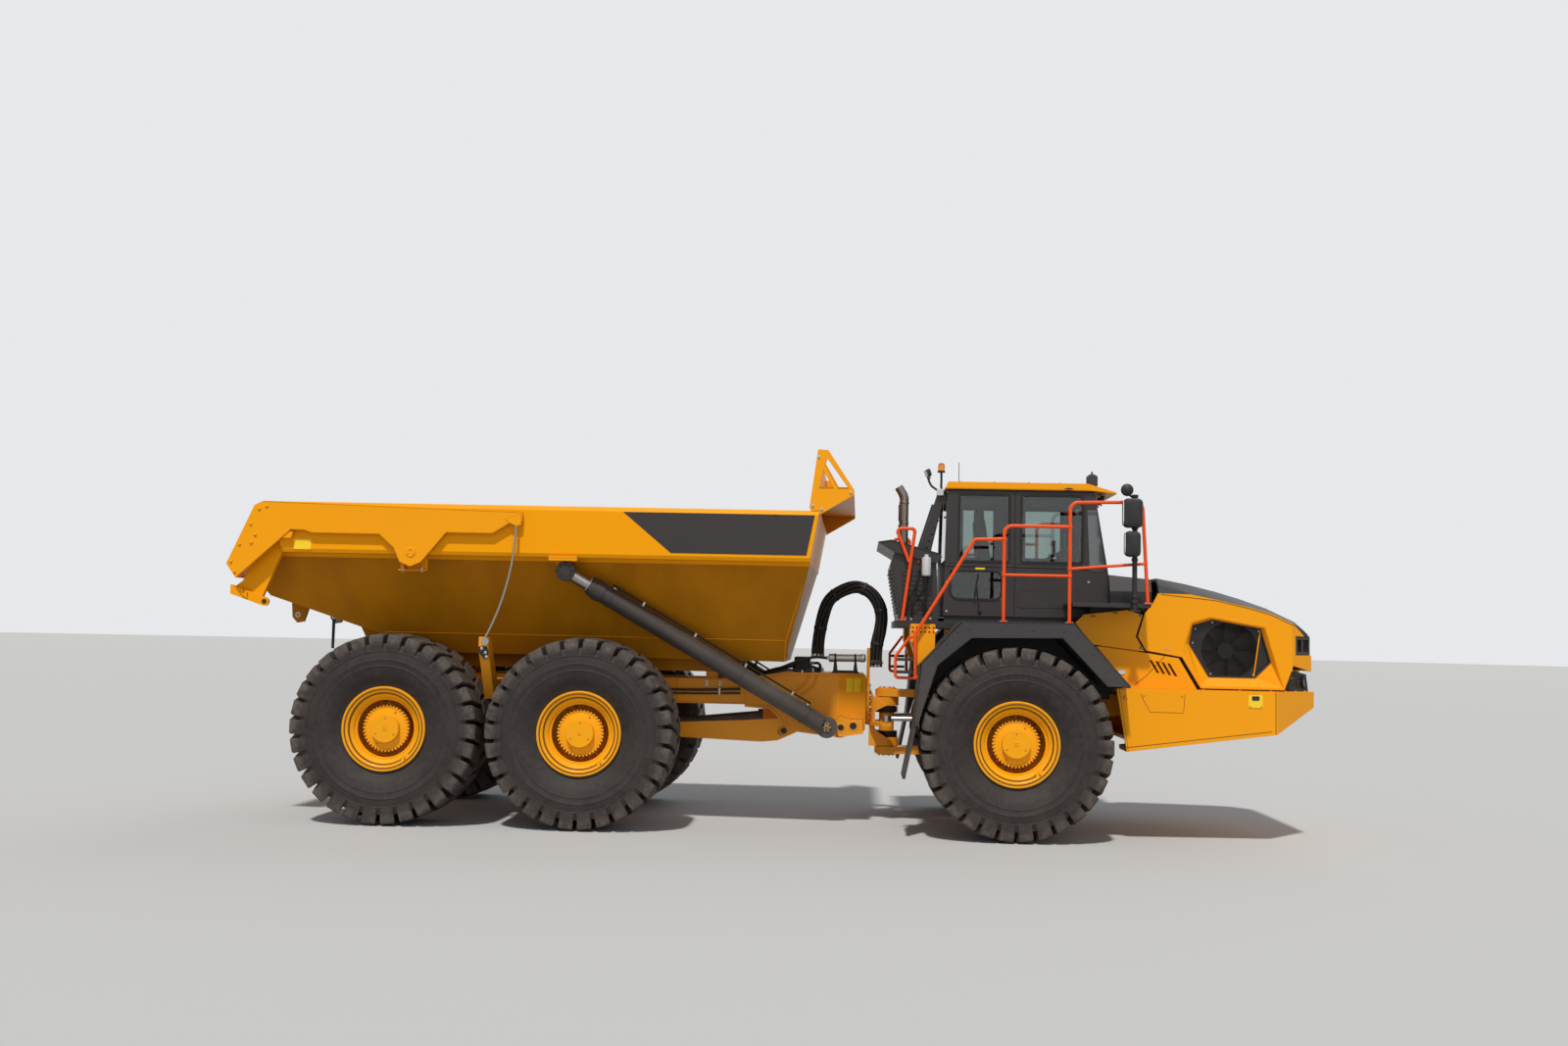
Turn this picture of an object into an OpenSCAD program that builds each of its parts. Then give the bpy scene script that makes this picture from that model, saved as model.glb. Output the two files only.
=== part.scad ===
// Articulated dump truck with six wheels, hinged between its front and rear units.
// Points are measured from the front axle: X forward, Y to the left, Z up from the ground.
// placed() moves them so that the origin lies on the ground under the middle of the truck.

/* [Wheels] */
// Radius of a tyre over its lugs
tyre_r = 1070; // [1000:5:1100]
// Width of a tyre
tyre_w = 870; // [780:10:900]
// Distance between the middles of the left and right tyres
track = 2930; // [2900:10:3050]
// Radius of the rim's flange
rim_r = 473; // [450:1:500]
// Radius of the axle spindle that a hub turns on
spindle_r = 110; // [80:1:130]
// Radial running clearance of hubs and pins
fit = 0.05; // [0.02:0.01:0.1]

/* [Layout] */
// Distance from the front axle forward to the nose
nose_reach = 3450; // [3420:5:3600]
// Distance from the front axle back to the tailgate's rear edge
tail_reach = 8900; // [8895:5:8920]
// Distance from the front axle back to the middle axle
mid_back = 4840; // [4800:10:4900]
// Distance between the middle and the rear axle
bogie = 2200; // [2190:5:2260]
// Distance from the front axle back to the steering pivot
pivot_back = 1400; // [1380:5:1420]

/* [Hitch] */
// Radius of the steering pin
steer_pin_r = 90; // [70:1:100]
// Distance of a steering rod's eye from the pivot
steer_arm = 380; // [360:5:400]
// Height of the axis about which the rear unit rolls
roll_z = 1440; // [1420:5:1460]
// Radius of the roll bearing's tube
roll_r = 200; // [160:5:220]
// Radius of the roll bearing's flange
roll_flange_r = 290; // [270:5:300]
// Radius of a steering cylinder's barrel
steer_barrel_r = 62; // [50:1:66]

/* [Front unit] */
// Half the width of the bumper and its side skirts
bumper_half = 1500; // [1460:5:1560]
// Height of the bumper's top face
bumper_top = 1700; // [1690:1:1705]
// Half the width of the hood
hood_half = 1250; // [1220:5:1280]
// Thickness of sheet panels
panel = 40; // [25:1:45]
// Half the distance over the mudguards
guard_half = 1850; // [1800:5:1880]
// Height of the mudguards' top face
guard_top = 2410; // [2400:5:2430]
// Radius of a cooling fan over its blades
fan_r = 325; // [280:5:340]

/* [Cab] */
// Half the width of the cab
cab_half = 880; // [840:5:900]
// Height of the cab's sill
cab_sill = 2480; // [2470:5:2490]
// Height of the underside of the cab's roof
cab_eave = 3960; // [3900:10:4000]
// Thickness of the cab's walls
cab_wall = 50; // [40:1:60]
// Thickness of window glass
glass = 10; // [6:1:14]
// Radius of the handrail tubes
rail_r = 20; // [14:1:22]
// Distance of the handrails from the middle
rail_half = 1655; // [1645:1:1658]

/* [Dump body] */
// Height of the body's top edge
body_top = 3605; // [3590:5:3620]
// Height of the body's underside along its flat floor
floor_z = 1900; // [1895:1:1910]
// Half the width over the top rails
rail_out = 1790; // [1760:5:1795]
// Half the width of the load space between the rails
rail_in = 1480; // [1460:5:1500]
// Height of the top rails' underside
rail_low = 3030; // [3010:5:3050]
// Thickness of the body's walls
body_wall = 30; // [20:1:40]
// Distance from the front axle back to the hinge that the body tips about
tip_back = 7500; // [7480:5:7520]
// Height of that hinge
tip_z = 1950; // [1945:1:1955]
// Radius of the tipping hinge's pin
tip_pin_r = 60; // [45:1:65]

/* [Tailgate] */
// Distance of the tailgate's arms from the middle, inner face
arm_in = 1815; // [1805:1:1825]
// Thickness of the arms
arm_t = 50; // [40:1:60]
// Radius of the tailgate's pivot pin
gate_pin_r = 55; // [40:1:60]
// Radius of the wire ropes
rope_r = 14; // [10:1:18]

/* [Hoist] */
// Radius of a hoist cylinder's barrel
hoist_r = 110; // [95:1:115]
// Radius of its rod
hoist_rod_r = 75; // [60:1:80]
// Distance of the barrel's lower pin from the middle
hoist_low_half = 700; // [690:5:710]
// Distance of the rod's eye from the middle
hoist_high_half = 1580; // [1570:5:1590]

/* [Hidden] */
$fn = 64;

yellow = "#f2b10c";
dark = "#3c3634";
charcoal = "#4a4442";
orange = "#e8461e";
steel = "#8c8a86";
black = "#1e1d1d";

seat = 0.3;
x_shift = (tail_reach - nose_reach) / 2;
axle_z = tyre_r;
half_track = track / 2;
bead_r = rim_r - 23;
thin_r = rail_r - 3;
hub_in = 170;
hub_deep = 150;
x_pivot = -pivot_back;
x_mid = -mid_back;
x_rear = x_mid - bogie;
x_tip = -tip_back;
left = 1;
right = -1;

// Frame rails of the front unit
rail_y = [200, 300];
rail_z = [1340, 1600];
rail_back = x_pivot + 400;

// Steering cylinders: the barrel's pin and the rod's eye at rest
steer_z = 1250;
steer_base = [-330, 440, steer_z];
steer_eye = [x_pivot, steer_arm, steer_z];
steer_barrel_l = 700;
steer_bolt_r = 30;

// Hoist cylinders: ball joint at the barrel's foot, and the rod's eye at rest
hoist_low = [-2110, hoist_low_half, 1146];
hoist_high = [-5080, hoist_high_half, 2880];
hoist_ball_r = 80;
hoist_pin_r = 28;
tip_angle = 70;
tip_hinge = [x_tip, 0, tip_z];
hoist_arm = hoist_high - tip_hinge;
hoist_tipped = tip_hinge + [hoist_arm[0] * cos(tip_angle) - hoist_arm[2] * sin(tip_angle), hoist_arm[1],
    hoist_arm[0] * sin(tip_angle) + hoist_arm[2] * cos(tip_angle)];
hoist_axis = cross(hoist_high - hoist_low, hoist_tipped - hoist_low)
    / norm(cross(hoist_high - hoist_low, hoist_tipped - hoist_low));
hoist_barrel_l = 3230;

hose_r = 70;

// Rails of the rear frame, the pads on them and the beams under the dump body
beam_y = [330, 470];
beam_z = [1380, 1680];
pads = [-3500, -4500, -5500, -6500];
body_beam_z = 1760;
tow_z = [1480, 1540];
tow_r = 32;

// Tailgate pivot and the rope's two ends
gate_pivot = [-6797, 3049];
rope_top = [-5605, 3397];
rope_foot = [-5910, 2070];
rope_y = arm_in + arm_t + 20;
rope_sag = 75;

// Fan axis behind each hexagonal window
fan_x = 2450;
fan_z = 2145;
pack_half = 1000;

module placed() {
    translate([x_shift, 0, 0]) children();
}

module both_sides() {
    children();
    mirror([0, 1, 0]) children();
}

// Mirrors a piece drawn for the left side to the side that is asked for
module on_side(side) {
    mirror([0, side == left ? 0 : 1, 0]) children();
}

// Outline in X and Z, pushed along Y
module slab_y(points, y) {
    translate([0, y[1], 0]) rotate([90, 0, 0]) linear_extrude(y[1] - y[0]) polygon(points);
}

// Outline in Y and Z, pushed along X
module slab_x(points, x) {
    translate([x[0], 0, 0]) rotate([90, 0, 90]) linear_extrude(x[1] - x[0]) polygon(points);
}

// Outline in X and Y, pushed along Z
module slab_z(points, z) {
    translate([0, 0, z[0]]) linear_extrude(z[1] - z[0]) polygon(points);
}

// Block between pairs of limits
module block(x, y, z) {
    translate([x[0], y[0], z[0]]) cube([x[1] - x[0], y[1] - y[0], z[1] - z[0]]);
}

// Disc or pin along Y
module disc_y(x, z, r, y) {
    translate([x, y[1], z]) rotate([90, 0, 0]) cylinder(h = y[1] - y[0], r = r);
}

// Turns +Z to a direction
module aim(v) {
    rotate([0, acos(v[2] / norm(v)), atan2(v[1], v[0])]) children();
}

// Round bar between two points
module bar(a, b, r) {
    translate(a) aim(b - a) cylinder(h = norm(b - a), r = r);
}

function unit(v) = v / norm(v);

// Angle by which a path in X and Z turns at one of its inner points
function turn(p, i) = let(a = p[i] - p[i - 1], b = p[i + 1] - p[i])
    atan2(a[0] * b[1] - a[1] * b[0], a * b);

// Length that the bend at a point takes from the straight before and after it
function trim(p, i, bend) = i == 0 || i == len(p) - 1 ? 0 : bend * tan(abs(turn(p, i)) / 2);
elbow_lap = 4;

// Tube through points in X and Z at one Y, its corners bent to a radius
module tube(points, y, r, bend) {
    for (i = [0 : len(points) - 2]) {
        d = unit(points[i + 1] - points[i]);
        a = points[i] + (trim(points, i, bend) - elbow_lap) * (i == 0 ? 0 : 1) * d;
        b = points[i + 1] - (trim(points, i + 1, bend) - elbow_lap) * (i == len(points) - 2 ? 0 : 1) * d;
        bar([a[0], y, a[1]], [b[0], y, b[1]], r);
    }
    for (i = [1 : 1 : len(points) - 2]) {
        d = unit(points[i] - points[i - 1]);
        t = turn(points, i);
        middle = points[i] - trim(points, i, bend) * d + sign(t) * bend * [-d[1], d[0]];
        start = atan2(d[1], d[0]) - 90 * sign(t);
        translate([middle[0], y, middle[1]]) rotate([90, 0, 0]) rotate([0, 0, min(start, start + t)])
            rotate_extrude(angle = abs(t)) translate([bend, 0]) circle(r = r * 1.04);
    }
}

// Outline in the wheel's radius and its outward offset, turned about the wheel's axle
module wheel_turned(x, side, outline) {
    translate([x, side * half_track, axle_z]) rotate([-90 * side, 0, 0])
        rotate_extrude() polygon(outline);
}

// Shares of half the tyre's width: at the bead, at its widest and at the crown
bead_share = 0.76;
crown_share = 0.8;
// Radii where the sidewall is widest and where the shoulder starts
bulge_r = 760;
shoulder_r = 940;
bead_top_r = rim_r + 6;
lugs = 32;
lug_deep = 125;

// Regular outline with as many corners as the tyre has lugs, its flats at a radius
function ring(r) = [for (i = [0 : lugs - 1]) let(a = (i + 0.5) * 360 / lugs)
    r / cos(180 / lugs) * [cos(a), sin(a)]];

// Outline of the tread seen from the side: each lug wider at its root than at its crown
function tread(root, crown) = [for (i = [0 : lugs - 1]) for (c = [[root, -0.4], [crown, -0.29],
    [crown, 0.29], [root, 0.4]]) let(a = (i + c[1]) * 360 / lugs) c[0] * [cos(a), sin(a)]];

// Ring-shaped slice of a wheel at a distance from its middle
module wheel_slice(r, y) {
    translate([0, 0, y]) linear_extrude(0.5, center = true) polygon(ring(r));
}

module tyre(x, side) {
    w = tyre_w / 2;
    translate([x, side * half_track, axle_z]) rotate([-90, 0, 0]) difference() {
        intersection() {
            linear_extrude(tyre_w, center = true) polygon(tread(tyre_r - lug_deep, tyre_r + 20));
            hull() for (s = [-1, 1]) {
                wheel_slice(bulge_r, s * (w - 0.25));
                wheel_slice(shoulder_r, s * w * 0.97);
                wheel_slice(tyre_r, s * w * crown_share);
            }
        }
        linear_extrude(tyre_w + 2, center = true) polygon(ring(bead_r));
        for (s = [-1, 1]) hull() {
            wheel_slice(bead_top_r, s * (w * bead_share + 0.25));
            wheel_slice(bulge_r, s * (w + 1));
        }
    }
}

module rim(x, side) {
    edge = bead_share * tyre_w / 2;
    bore = spindle_r + fit;
    seat_r = bead_r - seat;
    wheel_turned(x, side, [[bore, -hub_in], [290, -hub_in], [290, -80], [seat_r - 25, -80],
        [seat_r - 25, -edge - 32], [rim_r, -edge - 32], [rim_r, -edge - 2], [seat_r, -edge - 2],
        [seat_r, edge + 2], [rim_r, edge + 2], [rim_r, edge + 32], [rim_r - 33, edge + 32],
        [324, 250], [324, 222], [seat_r - 25, edge - 10], [seat_r - 25, -40], [235, -40],
        [235, 205], [262, 205], [262, 235], [160, 252], [155, 305], [0, 305], [0, hub_deep],
        [bore, hub_deep]]);
}

// Axle housing with differential, brake housings and spindles, turned about its own axis
module axle(x) {
    spindle_end = half_track + hub_deep - 1;
    brake = [half_track - hub_in - 190, half_track - hub_in - 16];
    half = [[0, 0], [260, 0], [250, 120], [180, 330], [140, 520], [140, brake[0] - 40],
        [300, brake[0]], [300, brake[1]], [spindle_r, brake[1] + 8], [spindle_r, spindle_end],
        [0, spindle_end]];
    translate([x, 0, axle_z]) both_sides() rotate([-90, 0, 0]) rotate_extrude() polygon(half);
}

module front_frame() {
    color(yellow) placed() {
        both_sides() block([rail_back, 2950], rail_y, rail_z);
        for (x = [rail_back, 1000, 2850])
            block([x, x + 100], [-rail_y[0], rail_y[0]], [rail_z[0] + 30, rail_z[1] - 30]);
        pivot_ears();
        both_sides() block([2905, nose_reach - 2 * panel - seat], rail_y, [1540, bumper_top - panel - seat]);
        both_sides() for (x = [-700, 120]) block([x, x + 120], rail_y, [rail_z[1] - 10, deck_low]);
        both_sides() block([-90, 90], [rail_y[1] - 10, 660], [1560, 1620]);
    }
}

// Clevis and pin under each rail, for the foot of a steering cylinder
module steer_clevises() {
    x = [steer_base[0] - 70, steer_base[0] + 80];
    color(charcoal) placed() both_sides() {
        for (z = [[steer_z - 75, steer_z - 45], [steer_z + 45, steer_z + 75]])
            block(x, [rail_y[0], steer_base[1] + 75], z);
        block(x, rail_y, [steer_z - 75, rail_z[0]]);
        translate([steer_base[0], steer_base[1], steer_z - 75]) cylinder(h = 150, r = steer_bolt_r);
    }
}

// Upper and lower ears that hold the steering pin
module pivot_ears() {
    ear = [[rail_back, 200], [x_pivot, 140], [x_pivot, -140], [rail_back, -200]];
    for (z = [[815, 900], [1500, 1587]]) {
        slab_z(ear, z);
        translate([x_pivot, 0, z[0]]) cylinder(h = z[1] - z[0], r = 140);
    }
    translate([x_pivot, 0, 815]) cylinder(h = 1587 - 815, r = steer_pin_r);
    block([rail_back, rail_back + 60], [-rail_y[1], rail_y[1]], [815, rail_z[1]]);
}

module front_axle() {
    color(charcoal) placed() {
        axle(0);
        both_sides() translate([0, 560, axle_z + 100]) cylinder(h = 1560 - seat - axle_z - 100, r = 75);
        both_sides() bar([60, 400, axle_z - 60], [900, 300, rail_z[0] - 90], 50);
        both_sides() block([860, 940], [260, 340], [rail_z[0] - 120, rail_z[0]]);
    }
}

module engine() {
    color(charcoal) placed() block([300, 1750], [-420, 420], [rail_z[1], 2290]);
}

// Radiator housing between the hexagonal windows, with a round opening for each fan
module cooling_pack() {
    color(dark) placed() difference() {
        block([2100, 2900], [-pack_half, pack_half], [rail_z[1], 2500]);
        both_sides() difference() {
            disc_y(fan_x, fan_z, fan_r + 20, [pack_half - 150, pack_half + 1]);
            disc_y(fan_x, fan_z, 60, [pack_half - 151, pack_half - 145 - seat]);
        }
    }
}

module fan(side) {
    placed() on_side(side) {
        disc_y(fan_x, fan_z, 90, [pack_half - 145, pack_half - 30]);
        for (a = [0 : 45 : 315])
            translate([fan_x, pack_half - 90, fan_z]) rotate([0, a, 0])
                translate([80, 0, 0]) rotate([35, 0, 0]) cube([fan_r - 80, 60, 12]);
    }
}

module bumper() {
    t = panel;
    side_view = [[1128, bumper_top], [nose_reach, bumper_top], [nose_reach, 1520],
        [2890, 1228], [1246, 1002]];
    inner_view = [[1000, bumper_top - t], [nose_reach - 2 * t, bumper_top - t],
        [nose_reach - 2 * t, 1540], [2880, 1278], [1000, 1020]];
    plan = [[1000, -bumper_half], [2900, -bumper_half], [nose_reach, -950], [nose_reach, 950],
        [2900, bumper_half], [1000, bumper_half]];
    inner_plan = [[999, t - bumper_half], [2880, t - bumper_half], [nose_reach - 2 * t, -920],
        [nose_reach - 2 * t, 920], [2880, bumper_half - t], [999, bumper_half - t]];
    color(yellow) placed() difference() {
        intersection() {
            slab_y(side_view, [-bumper_half, bumper_half]);
            slab_z(plan, [900, bumper_top]);
        }
        intersection() {
            slab_y(inner_view, [-bumper_half, bumper_half]);
            slab_z(inner_plan, [900, bumper_top]);
        }
        block([999, 3080], [40 - hood_half, hood_half - 40], [bumper_top - 2 * t, bumper_top + 1]);
        block([999, 1500], [-1000, 1000], [900, 1500]);
    }
    color(yellow) placed() both_sides() {
        slab_y([[hood_pivot[0] - 75, bumper_top - 1], [hood_pivot[0] + 40, bumper_top - 1],
            [hood_pivot[0] + 20, 1950], [hood_pivot[0] - 20, 1950]], [340, 380]);
        disc_y(hood_pivot[0], hood_pivot[1], 15, [340, 430]);
    }
}

module side_panels() {
    y = [hood_half - panel, hood_half];
    upper = [[700, 2425], [795, 2520], [1285, 2580], [1455, 2530], [1379, 2285], [1477, 2117],
        [895, 2183]];
    low = bumper_top + seat;
    lower = [[935, 2165], [1480, 2103], [1862, 2048], [2068, low], [1339, low]];
    color(yellow) placed() both_sides() {
        block([980, 1420], [y[0] - 20, y[0] + 1], [2100, 2230]);
        slab_y(upper, y);
        difference() {
            slab_y(lower, y);
            for (i = [0 : 3]) translate([67 * i, 0, -11 * i])
                slab_y([[1532, 2022], [1562, 2022], [1645, 1882], [1615, 1882]], [y[0] - 1, y[1] + 1]);
        }
        step_box();
    }
}

// Box that carries the ladder's top step, on the slope behind the mudguard
module step_box() {
    slab_y([[-1173, 2371], [-900.5, 2371], [-900.5, 2110.5], [-1070.8, 1929.8], [-1081, 1906], [-1173, 2178]],
        [1100, rail_half - 60 - seat]);
}

module mudguards() {
    arch = [[-619, guard_top], [606, guard_top], [1230, 1727], [983, 1725], [488, 2244],
        [-513, 2226], [-890, 1913], [-1090, 1250], [-1130, 1250], [-1067, 1932]];
    flap = [[-1100, 1250], [-1130, 1250], [-1245, 667], [-1215, 667]];
    color(dark) placed() both_sides() {
        slab_y(arch, [1010, guard_half]);
        slab_y(flap, [1100, guard_half - 20]);
    }
}

deck_low = 2330;
walk_top = 2640;
walk_front = 1470;

module deck() {
    color(dark) placed() {
        block([-1340, 980], [seat - 1010, 1010 - seat], [deck_low, guard_top]);
        both_sides() block([880, 960], [910, 990], [guard_top - 1, 2601]);
        both_sides() for (x = [-640, 760]) block([x, x + 120], [540, 660], [guard_top - 1, cab_sill - seat]);
        for (side = [left, right]) {
            start = side == left ? door_x[1] + 20 : 610;
            on_side(side) block([start, walk_front], [cab_half + 10, rail_half + 25], [2600, 2640]);
        }
        both_sides() for (z = [1815, 1955])
            block([thin_r + seat - 1340, -rail_r - 1125], [rail_half - 60, rail_half + 60], [z, z + 30]);
        cowl();
    }
}

// Cowl between the windscreen and the hood
module cowl() {
    top = walk_top + seat;
    across = [[-1000, top], [-1000, 2800], [-900, 2990], [900, 2990], [1000, 2800], [1000, top]];
    intersection() {
        slab_x(across, [1126 + seat, 1605]);
        slab_y([[1000, top - 1], [1000, 3010], [1126, 2990], [1605, 2945], [1700, 2900], [1700, top - 1]],
            [-1100, 1100]);
    }
}

// Cab outline seen from the side, drawn inwards by a margin
function cab_outline(m) = [[-780 + m, cab_sill + m], [-748 + m, cab_eave - m],
    [960 - m, cab_eave - m], [1126 - m, 3000], [1126 - m, cab_sill + m]];

// Window openings seen from the side: low X, high X, low Z, high Z
rear_window = [-604, -19, 3120, 3900];
front_window = [119, 829, 3120, 3900];
low_window = [-704, -92, 2673, 3009];
door_x = [55, 850];
door_z = [2540, 3930];
door_hinge = [door_x[0] + 6, cab_half + 13];
hinge_heights = [2750, 3650];

module window_cut(w, y) {
    block([w[0], w[1]], y, [w[2], w[3]]);
}

// Leaf of a door hinge between two heights, with its round knuckle about the pin
module hinge_leaf(root, z) {
    block(root, [cab_half - 1, cab_half + 25], z);
    translate([door_hinge[0], door_hinge[1], z[0]]) cylinder(h = z[1] - z[0], r = 12);
}

module cab_shell() {
    color(dark) placed() for (z = hinge_heights) {
        hinge_leaf([door_hinge[0] - 41, door_hinge[0] - 9], [z, z + 30]);
        translate([door_hinge[0], door_hinge[1], z]) cylinder(h = 58, r = 8);
    }
    color(dark) placed() difference() {
        slab_y(cab_outline(0), [-cab_half, cab_half]);
        slab_y(cab_outline(cab_wall), [cab_wall - cab_half, cab_half - cab_wall]);
        for (w = [rear_window, low_window]) window_cut(w, [-cab_half - 1, cab_half + 1]);
        window_cut(front_window, [-cab_half - 1, 0]);
        block(door_x, [0, cab_half + 1], door_z);
        block([900, 1300], [100 - cab_half, cab_half - 100], [3030, 3880]);
        block([-900, -600], [100 - cab_half, cab_half - 100], [3120, 3880]);
    }
}

module cab_glass() {
    y = cab_half - cab_wall / 2;
    end_half = cab_half - 100 - seat;
    color("#9fb4b8", 0.4) placed() {
        for (w = [rear_window, low_window]) both_sides() window_cut(w, [y, y + glass]);
        mirror([0, 1, 0]) window_cut(front_window, [y, y + glass]);
        slab_y([[1100, 3031], [953, 3879], [953 - glass, 3879], [1100 - glass, 3031]],
            [-end_half, end_half]);
        slab_y([[-746, 3121], [-730, 3879], [-730 + glass, 3879], [-746 + glass, 3121]],
            [-end_half, end_half]);
    }
}

module cab_roof() {
    color(yellow) placed() slab_y([[-775, cab_eave + seat], [-738, 4045], [875, 4045], [1209, 3950],
        [1209, 3930], [960, cab_eave + seat]], [-cab_half - 40, cab_half + 40]);
}

module cab_interior() {
    floor_top = cab_sill + cab_wall;
    wheel = [640, 0, 3270];
    color(black) placed() {
        block([-230, 230], [-200, 200], [floor_top, floor_top + 300]);
        slab_y([[-270, floor_top + 299], [270, floor_top + 299], [280, floor_top + 420],
            [-150, floor_top + 440], [-260, floor_top + 1130], [-370, floor_top + 1130],
            [-330, floor_top + 430]], [-260, 260]);
        slab_y([[760, floor_top], [1060, floor_top], [1060, 2990], [960, 3010], [820, 2960]],
            [-800, 800]);
        bar([840, 0, 2900], wheel, 30);
        translate(wheel) rotate([0, -28, 0]) rotate_extrude() translate([215, 0]) circle(r = 17);
        translate(wheel) rotate([0, -28, 0]) for (a = [0, 120, 240]) rotate([0, 0, a])
            translate([0, -18, -8]) cube([215, 36, 16]);
    }
}

module handrails() {
    y = rail_half;
    base = guard_top + seat;
    top = walk_top + seat;
    color(orange) placed() both_sides() {
        tube([[578, base], [578, 3755], [1375, 3775], [1440, top + 1.2]], y, rail_r, 90);
        bar([578, y, 3015], [1428, y, 3090], thin_r);
        tube([[-150, base], [-150, 3484], [578, 3484]], y, rail_r, 90);
        bar([-150, y, 2935], [578, y, 2935], thin_r);
        tube([[-150, 3335], [-478, 3325], [-1124, 2254], [-1118, 1785], [-1097, 1768]], y, rail_r, 40);
        tube([[-1124, 2232], [-1176, 2232], [-1340, 2005], [-1340, 1768], [-1097, 1766]], y, thin_r, 40);
        tube([[-1255, base + 2.7], [-1118, 3482], [-1338, 3478], [-1185, 3090]], 975, rail_r, 40);
    }
}

module exhaust() {
    path = [[-1243, 3319], [-1243, 3890], [-1310, 4000]];
    color(steel) placed() difference() {
        tube(path, -600, 52, 150);
        translate([-1243, -600, 3600]) cylinder(h = 160, r = 45);
    }
}

module rear_module() {
    color(dark) placed() {
        slab_y([[-1285, guard_top], [-1400, 3060], [-1350, 3216], [-863, 3080], [-835, guard_top]],
            [-900, 900]);
        slab_y([[-1546, 3315], [-1390, 3344], [-839, 3197], [-799, 3159], [-863, 3079], [-1350, 3200]],
            [-950, 950]);
        both_sides() slab_y([[-860, 3905], [-749.5, 3905], [-751, 3830], [-790, 3830], [-930, 3200],
            [-1075, 3220]], [640, 760]);
    }
}

module mirrors() {
    y = rail_half + 25 + seat + 28;
    color(black) placed() both_sides() {
        bar([1280, y, 2556], [1280, y, 3830], 28);
        block([1130, 1350], [y + 20, y + 150], [3470, 3800]);
        block([1150, 1330], [y + 20, y + 140], [3150, 3440]);
        block([1262, 1298], [y, y + 40], [3180, 3760]);
        disc_y(1190, 3900, 70, [y - 10, y + 120]);
        block([1180, 1300], [y, y + 60], [3790, 3850]);
    }
}

module lamps() {
    color(black) placed() intersection() {
        both_sides() slab_y([[3075, bumper_top], [3150, 1935], [3370, 1895], [3400, bumper_top]],
            [560, 1120]);
        slab_z([[2900, -1300], [3400, -900], [3400, 900], [2900, 1300]], [bumper_top, 2000]);
    }
}

hood_pivot = [nose_reach - 45, 1930];
nose_band = [2110, 2325];

// Seams of the hood seen from the side, with room above for the crown
hood_outline = [[2110, 1715], [1900, 2062], [1497, 2127], [1405, 2285], [1482, 2545], [1560, 2640],
    [1640, 2790], [1660, 3100], [3405, 3100], [3405, 1930], [3203, 1976], [3140, 1990], [3040, 1715]];
// Top edge of the flanks, and the crown's line nearer the middle
flank_line = [[1300, 2779], [1629, 2777], [1995, 2772], [2272, 2720], [2649, 2639], [2899, 2570],
    [3149, 2456], [3243, 2380], [3410, 2230]];
crown_line = [[1300, 2990], [1660, 2955], [1970, 2899], [2328, 2815], [2583, 2742], [2901, 2635],
    [3218, 2488], [3319, 2400], [3410, 2290]];
crown_half = 1000;

hexagon = [[2034, 2423], [2247, 2491], [2787, 2401], [2899, 2025], [2724, 1850], [2211, 1851],
    [1990, 2219]];
// Outer edge of the bevel around the hexagonal window, and the thicker flank behind it
hex_frame = [[2010, 2450], [2212, 2512], [2820, 2410], [2930, 2031], [3020, 1742], [2110, 1742],
    [1940, 2211]];
hex_back = [[1990, 2480], [2212, 2550], [2850, 2440], [2970, 2031], [3030, 1716], [2125, 1716],
    [1925, 2100], [1925, 2211]];
hex_deep = 65;

// Area under a line in X and Z, lowered by a margin
function under(line, m) = concat([for (p = line) [p[0], p[1] - m]], [[3410, 1500], [1300, 1500]]);

// Hood's outer form, or its hollow, drawn inwards by a margin
module hood_form(m) {
    h = hood_half - m;
    intersection() {
        slab_z([[1300, -h], [3130, -h], [3405 - m, -1010 + m], [3405 - m, 1010 - m], [3130, h],
            [1300, h]], [1500, 3100]);
        hull() {
            slab_y(under(flank_line, m), [-h, h]);
            slab_y(under(crown_line, m), [m / 2 - crown_half, crown_half - m / 2]);
        }
    }
}

module hood_shell() {
    difference() {
        intersection() {
            hood_form(0);
            slab_y(hood_outline, [-hood_half, hood_half]);
        }
        hood_form(panel);
    }
}

module hood() {
    color(yellow) placed() both_sides() difference() {
        disc_y(hood_pivot[0], hood_pivot[1], 36, [390, 420]);
        disc_y(hood_pivot[0], hood_pivot[1], 15 + fit, [380, 430]);
    }
    color(yellow) placed() difference() {
        union() {
            intersection() {
                hood_shell();
                slab_y(under(flank_line, 0), [-hood_half - 1, hood_half + 1]);
            }
            both_sides() slab_y(hex_back, [hood_half - hex_deep - 10, hood_half - panel + 1]);
        }
        both_sides() disc_y(hood_pivot[0], hood_pivot[1], 30, [330, 431]);
        slab_y(hexagon, [-hood_half - 1, hood_half + 1]);
        both_sides() hull() {
            slab_y(hex_frame, [hood_half, hood_half + 1]);
            slab_y(hexagon, [hood_half - hex_deep, hood_half - hex_deep + 1]);
        }
        block([3175, 3500], [-hood_half - 1, hood_half + 1], nose_band);
    }
}

module hood_top() {
    color(dark) placed() difference() {
        hood_shell();
        slab_y(under(flank_line, 0), [-hood_half - 1, hood_half + 1]);
        block([3175, 3500], [-hood_half - 1, hood_half + 1], nose_band);
    }
}

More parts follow.
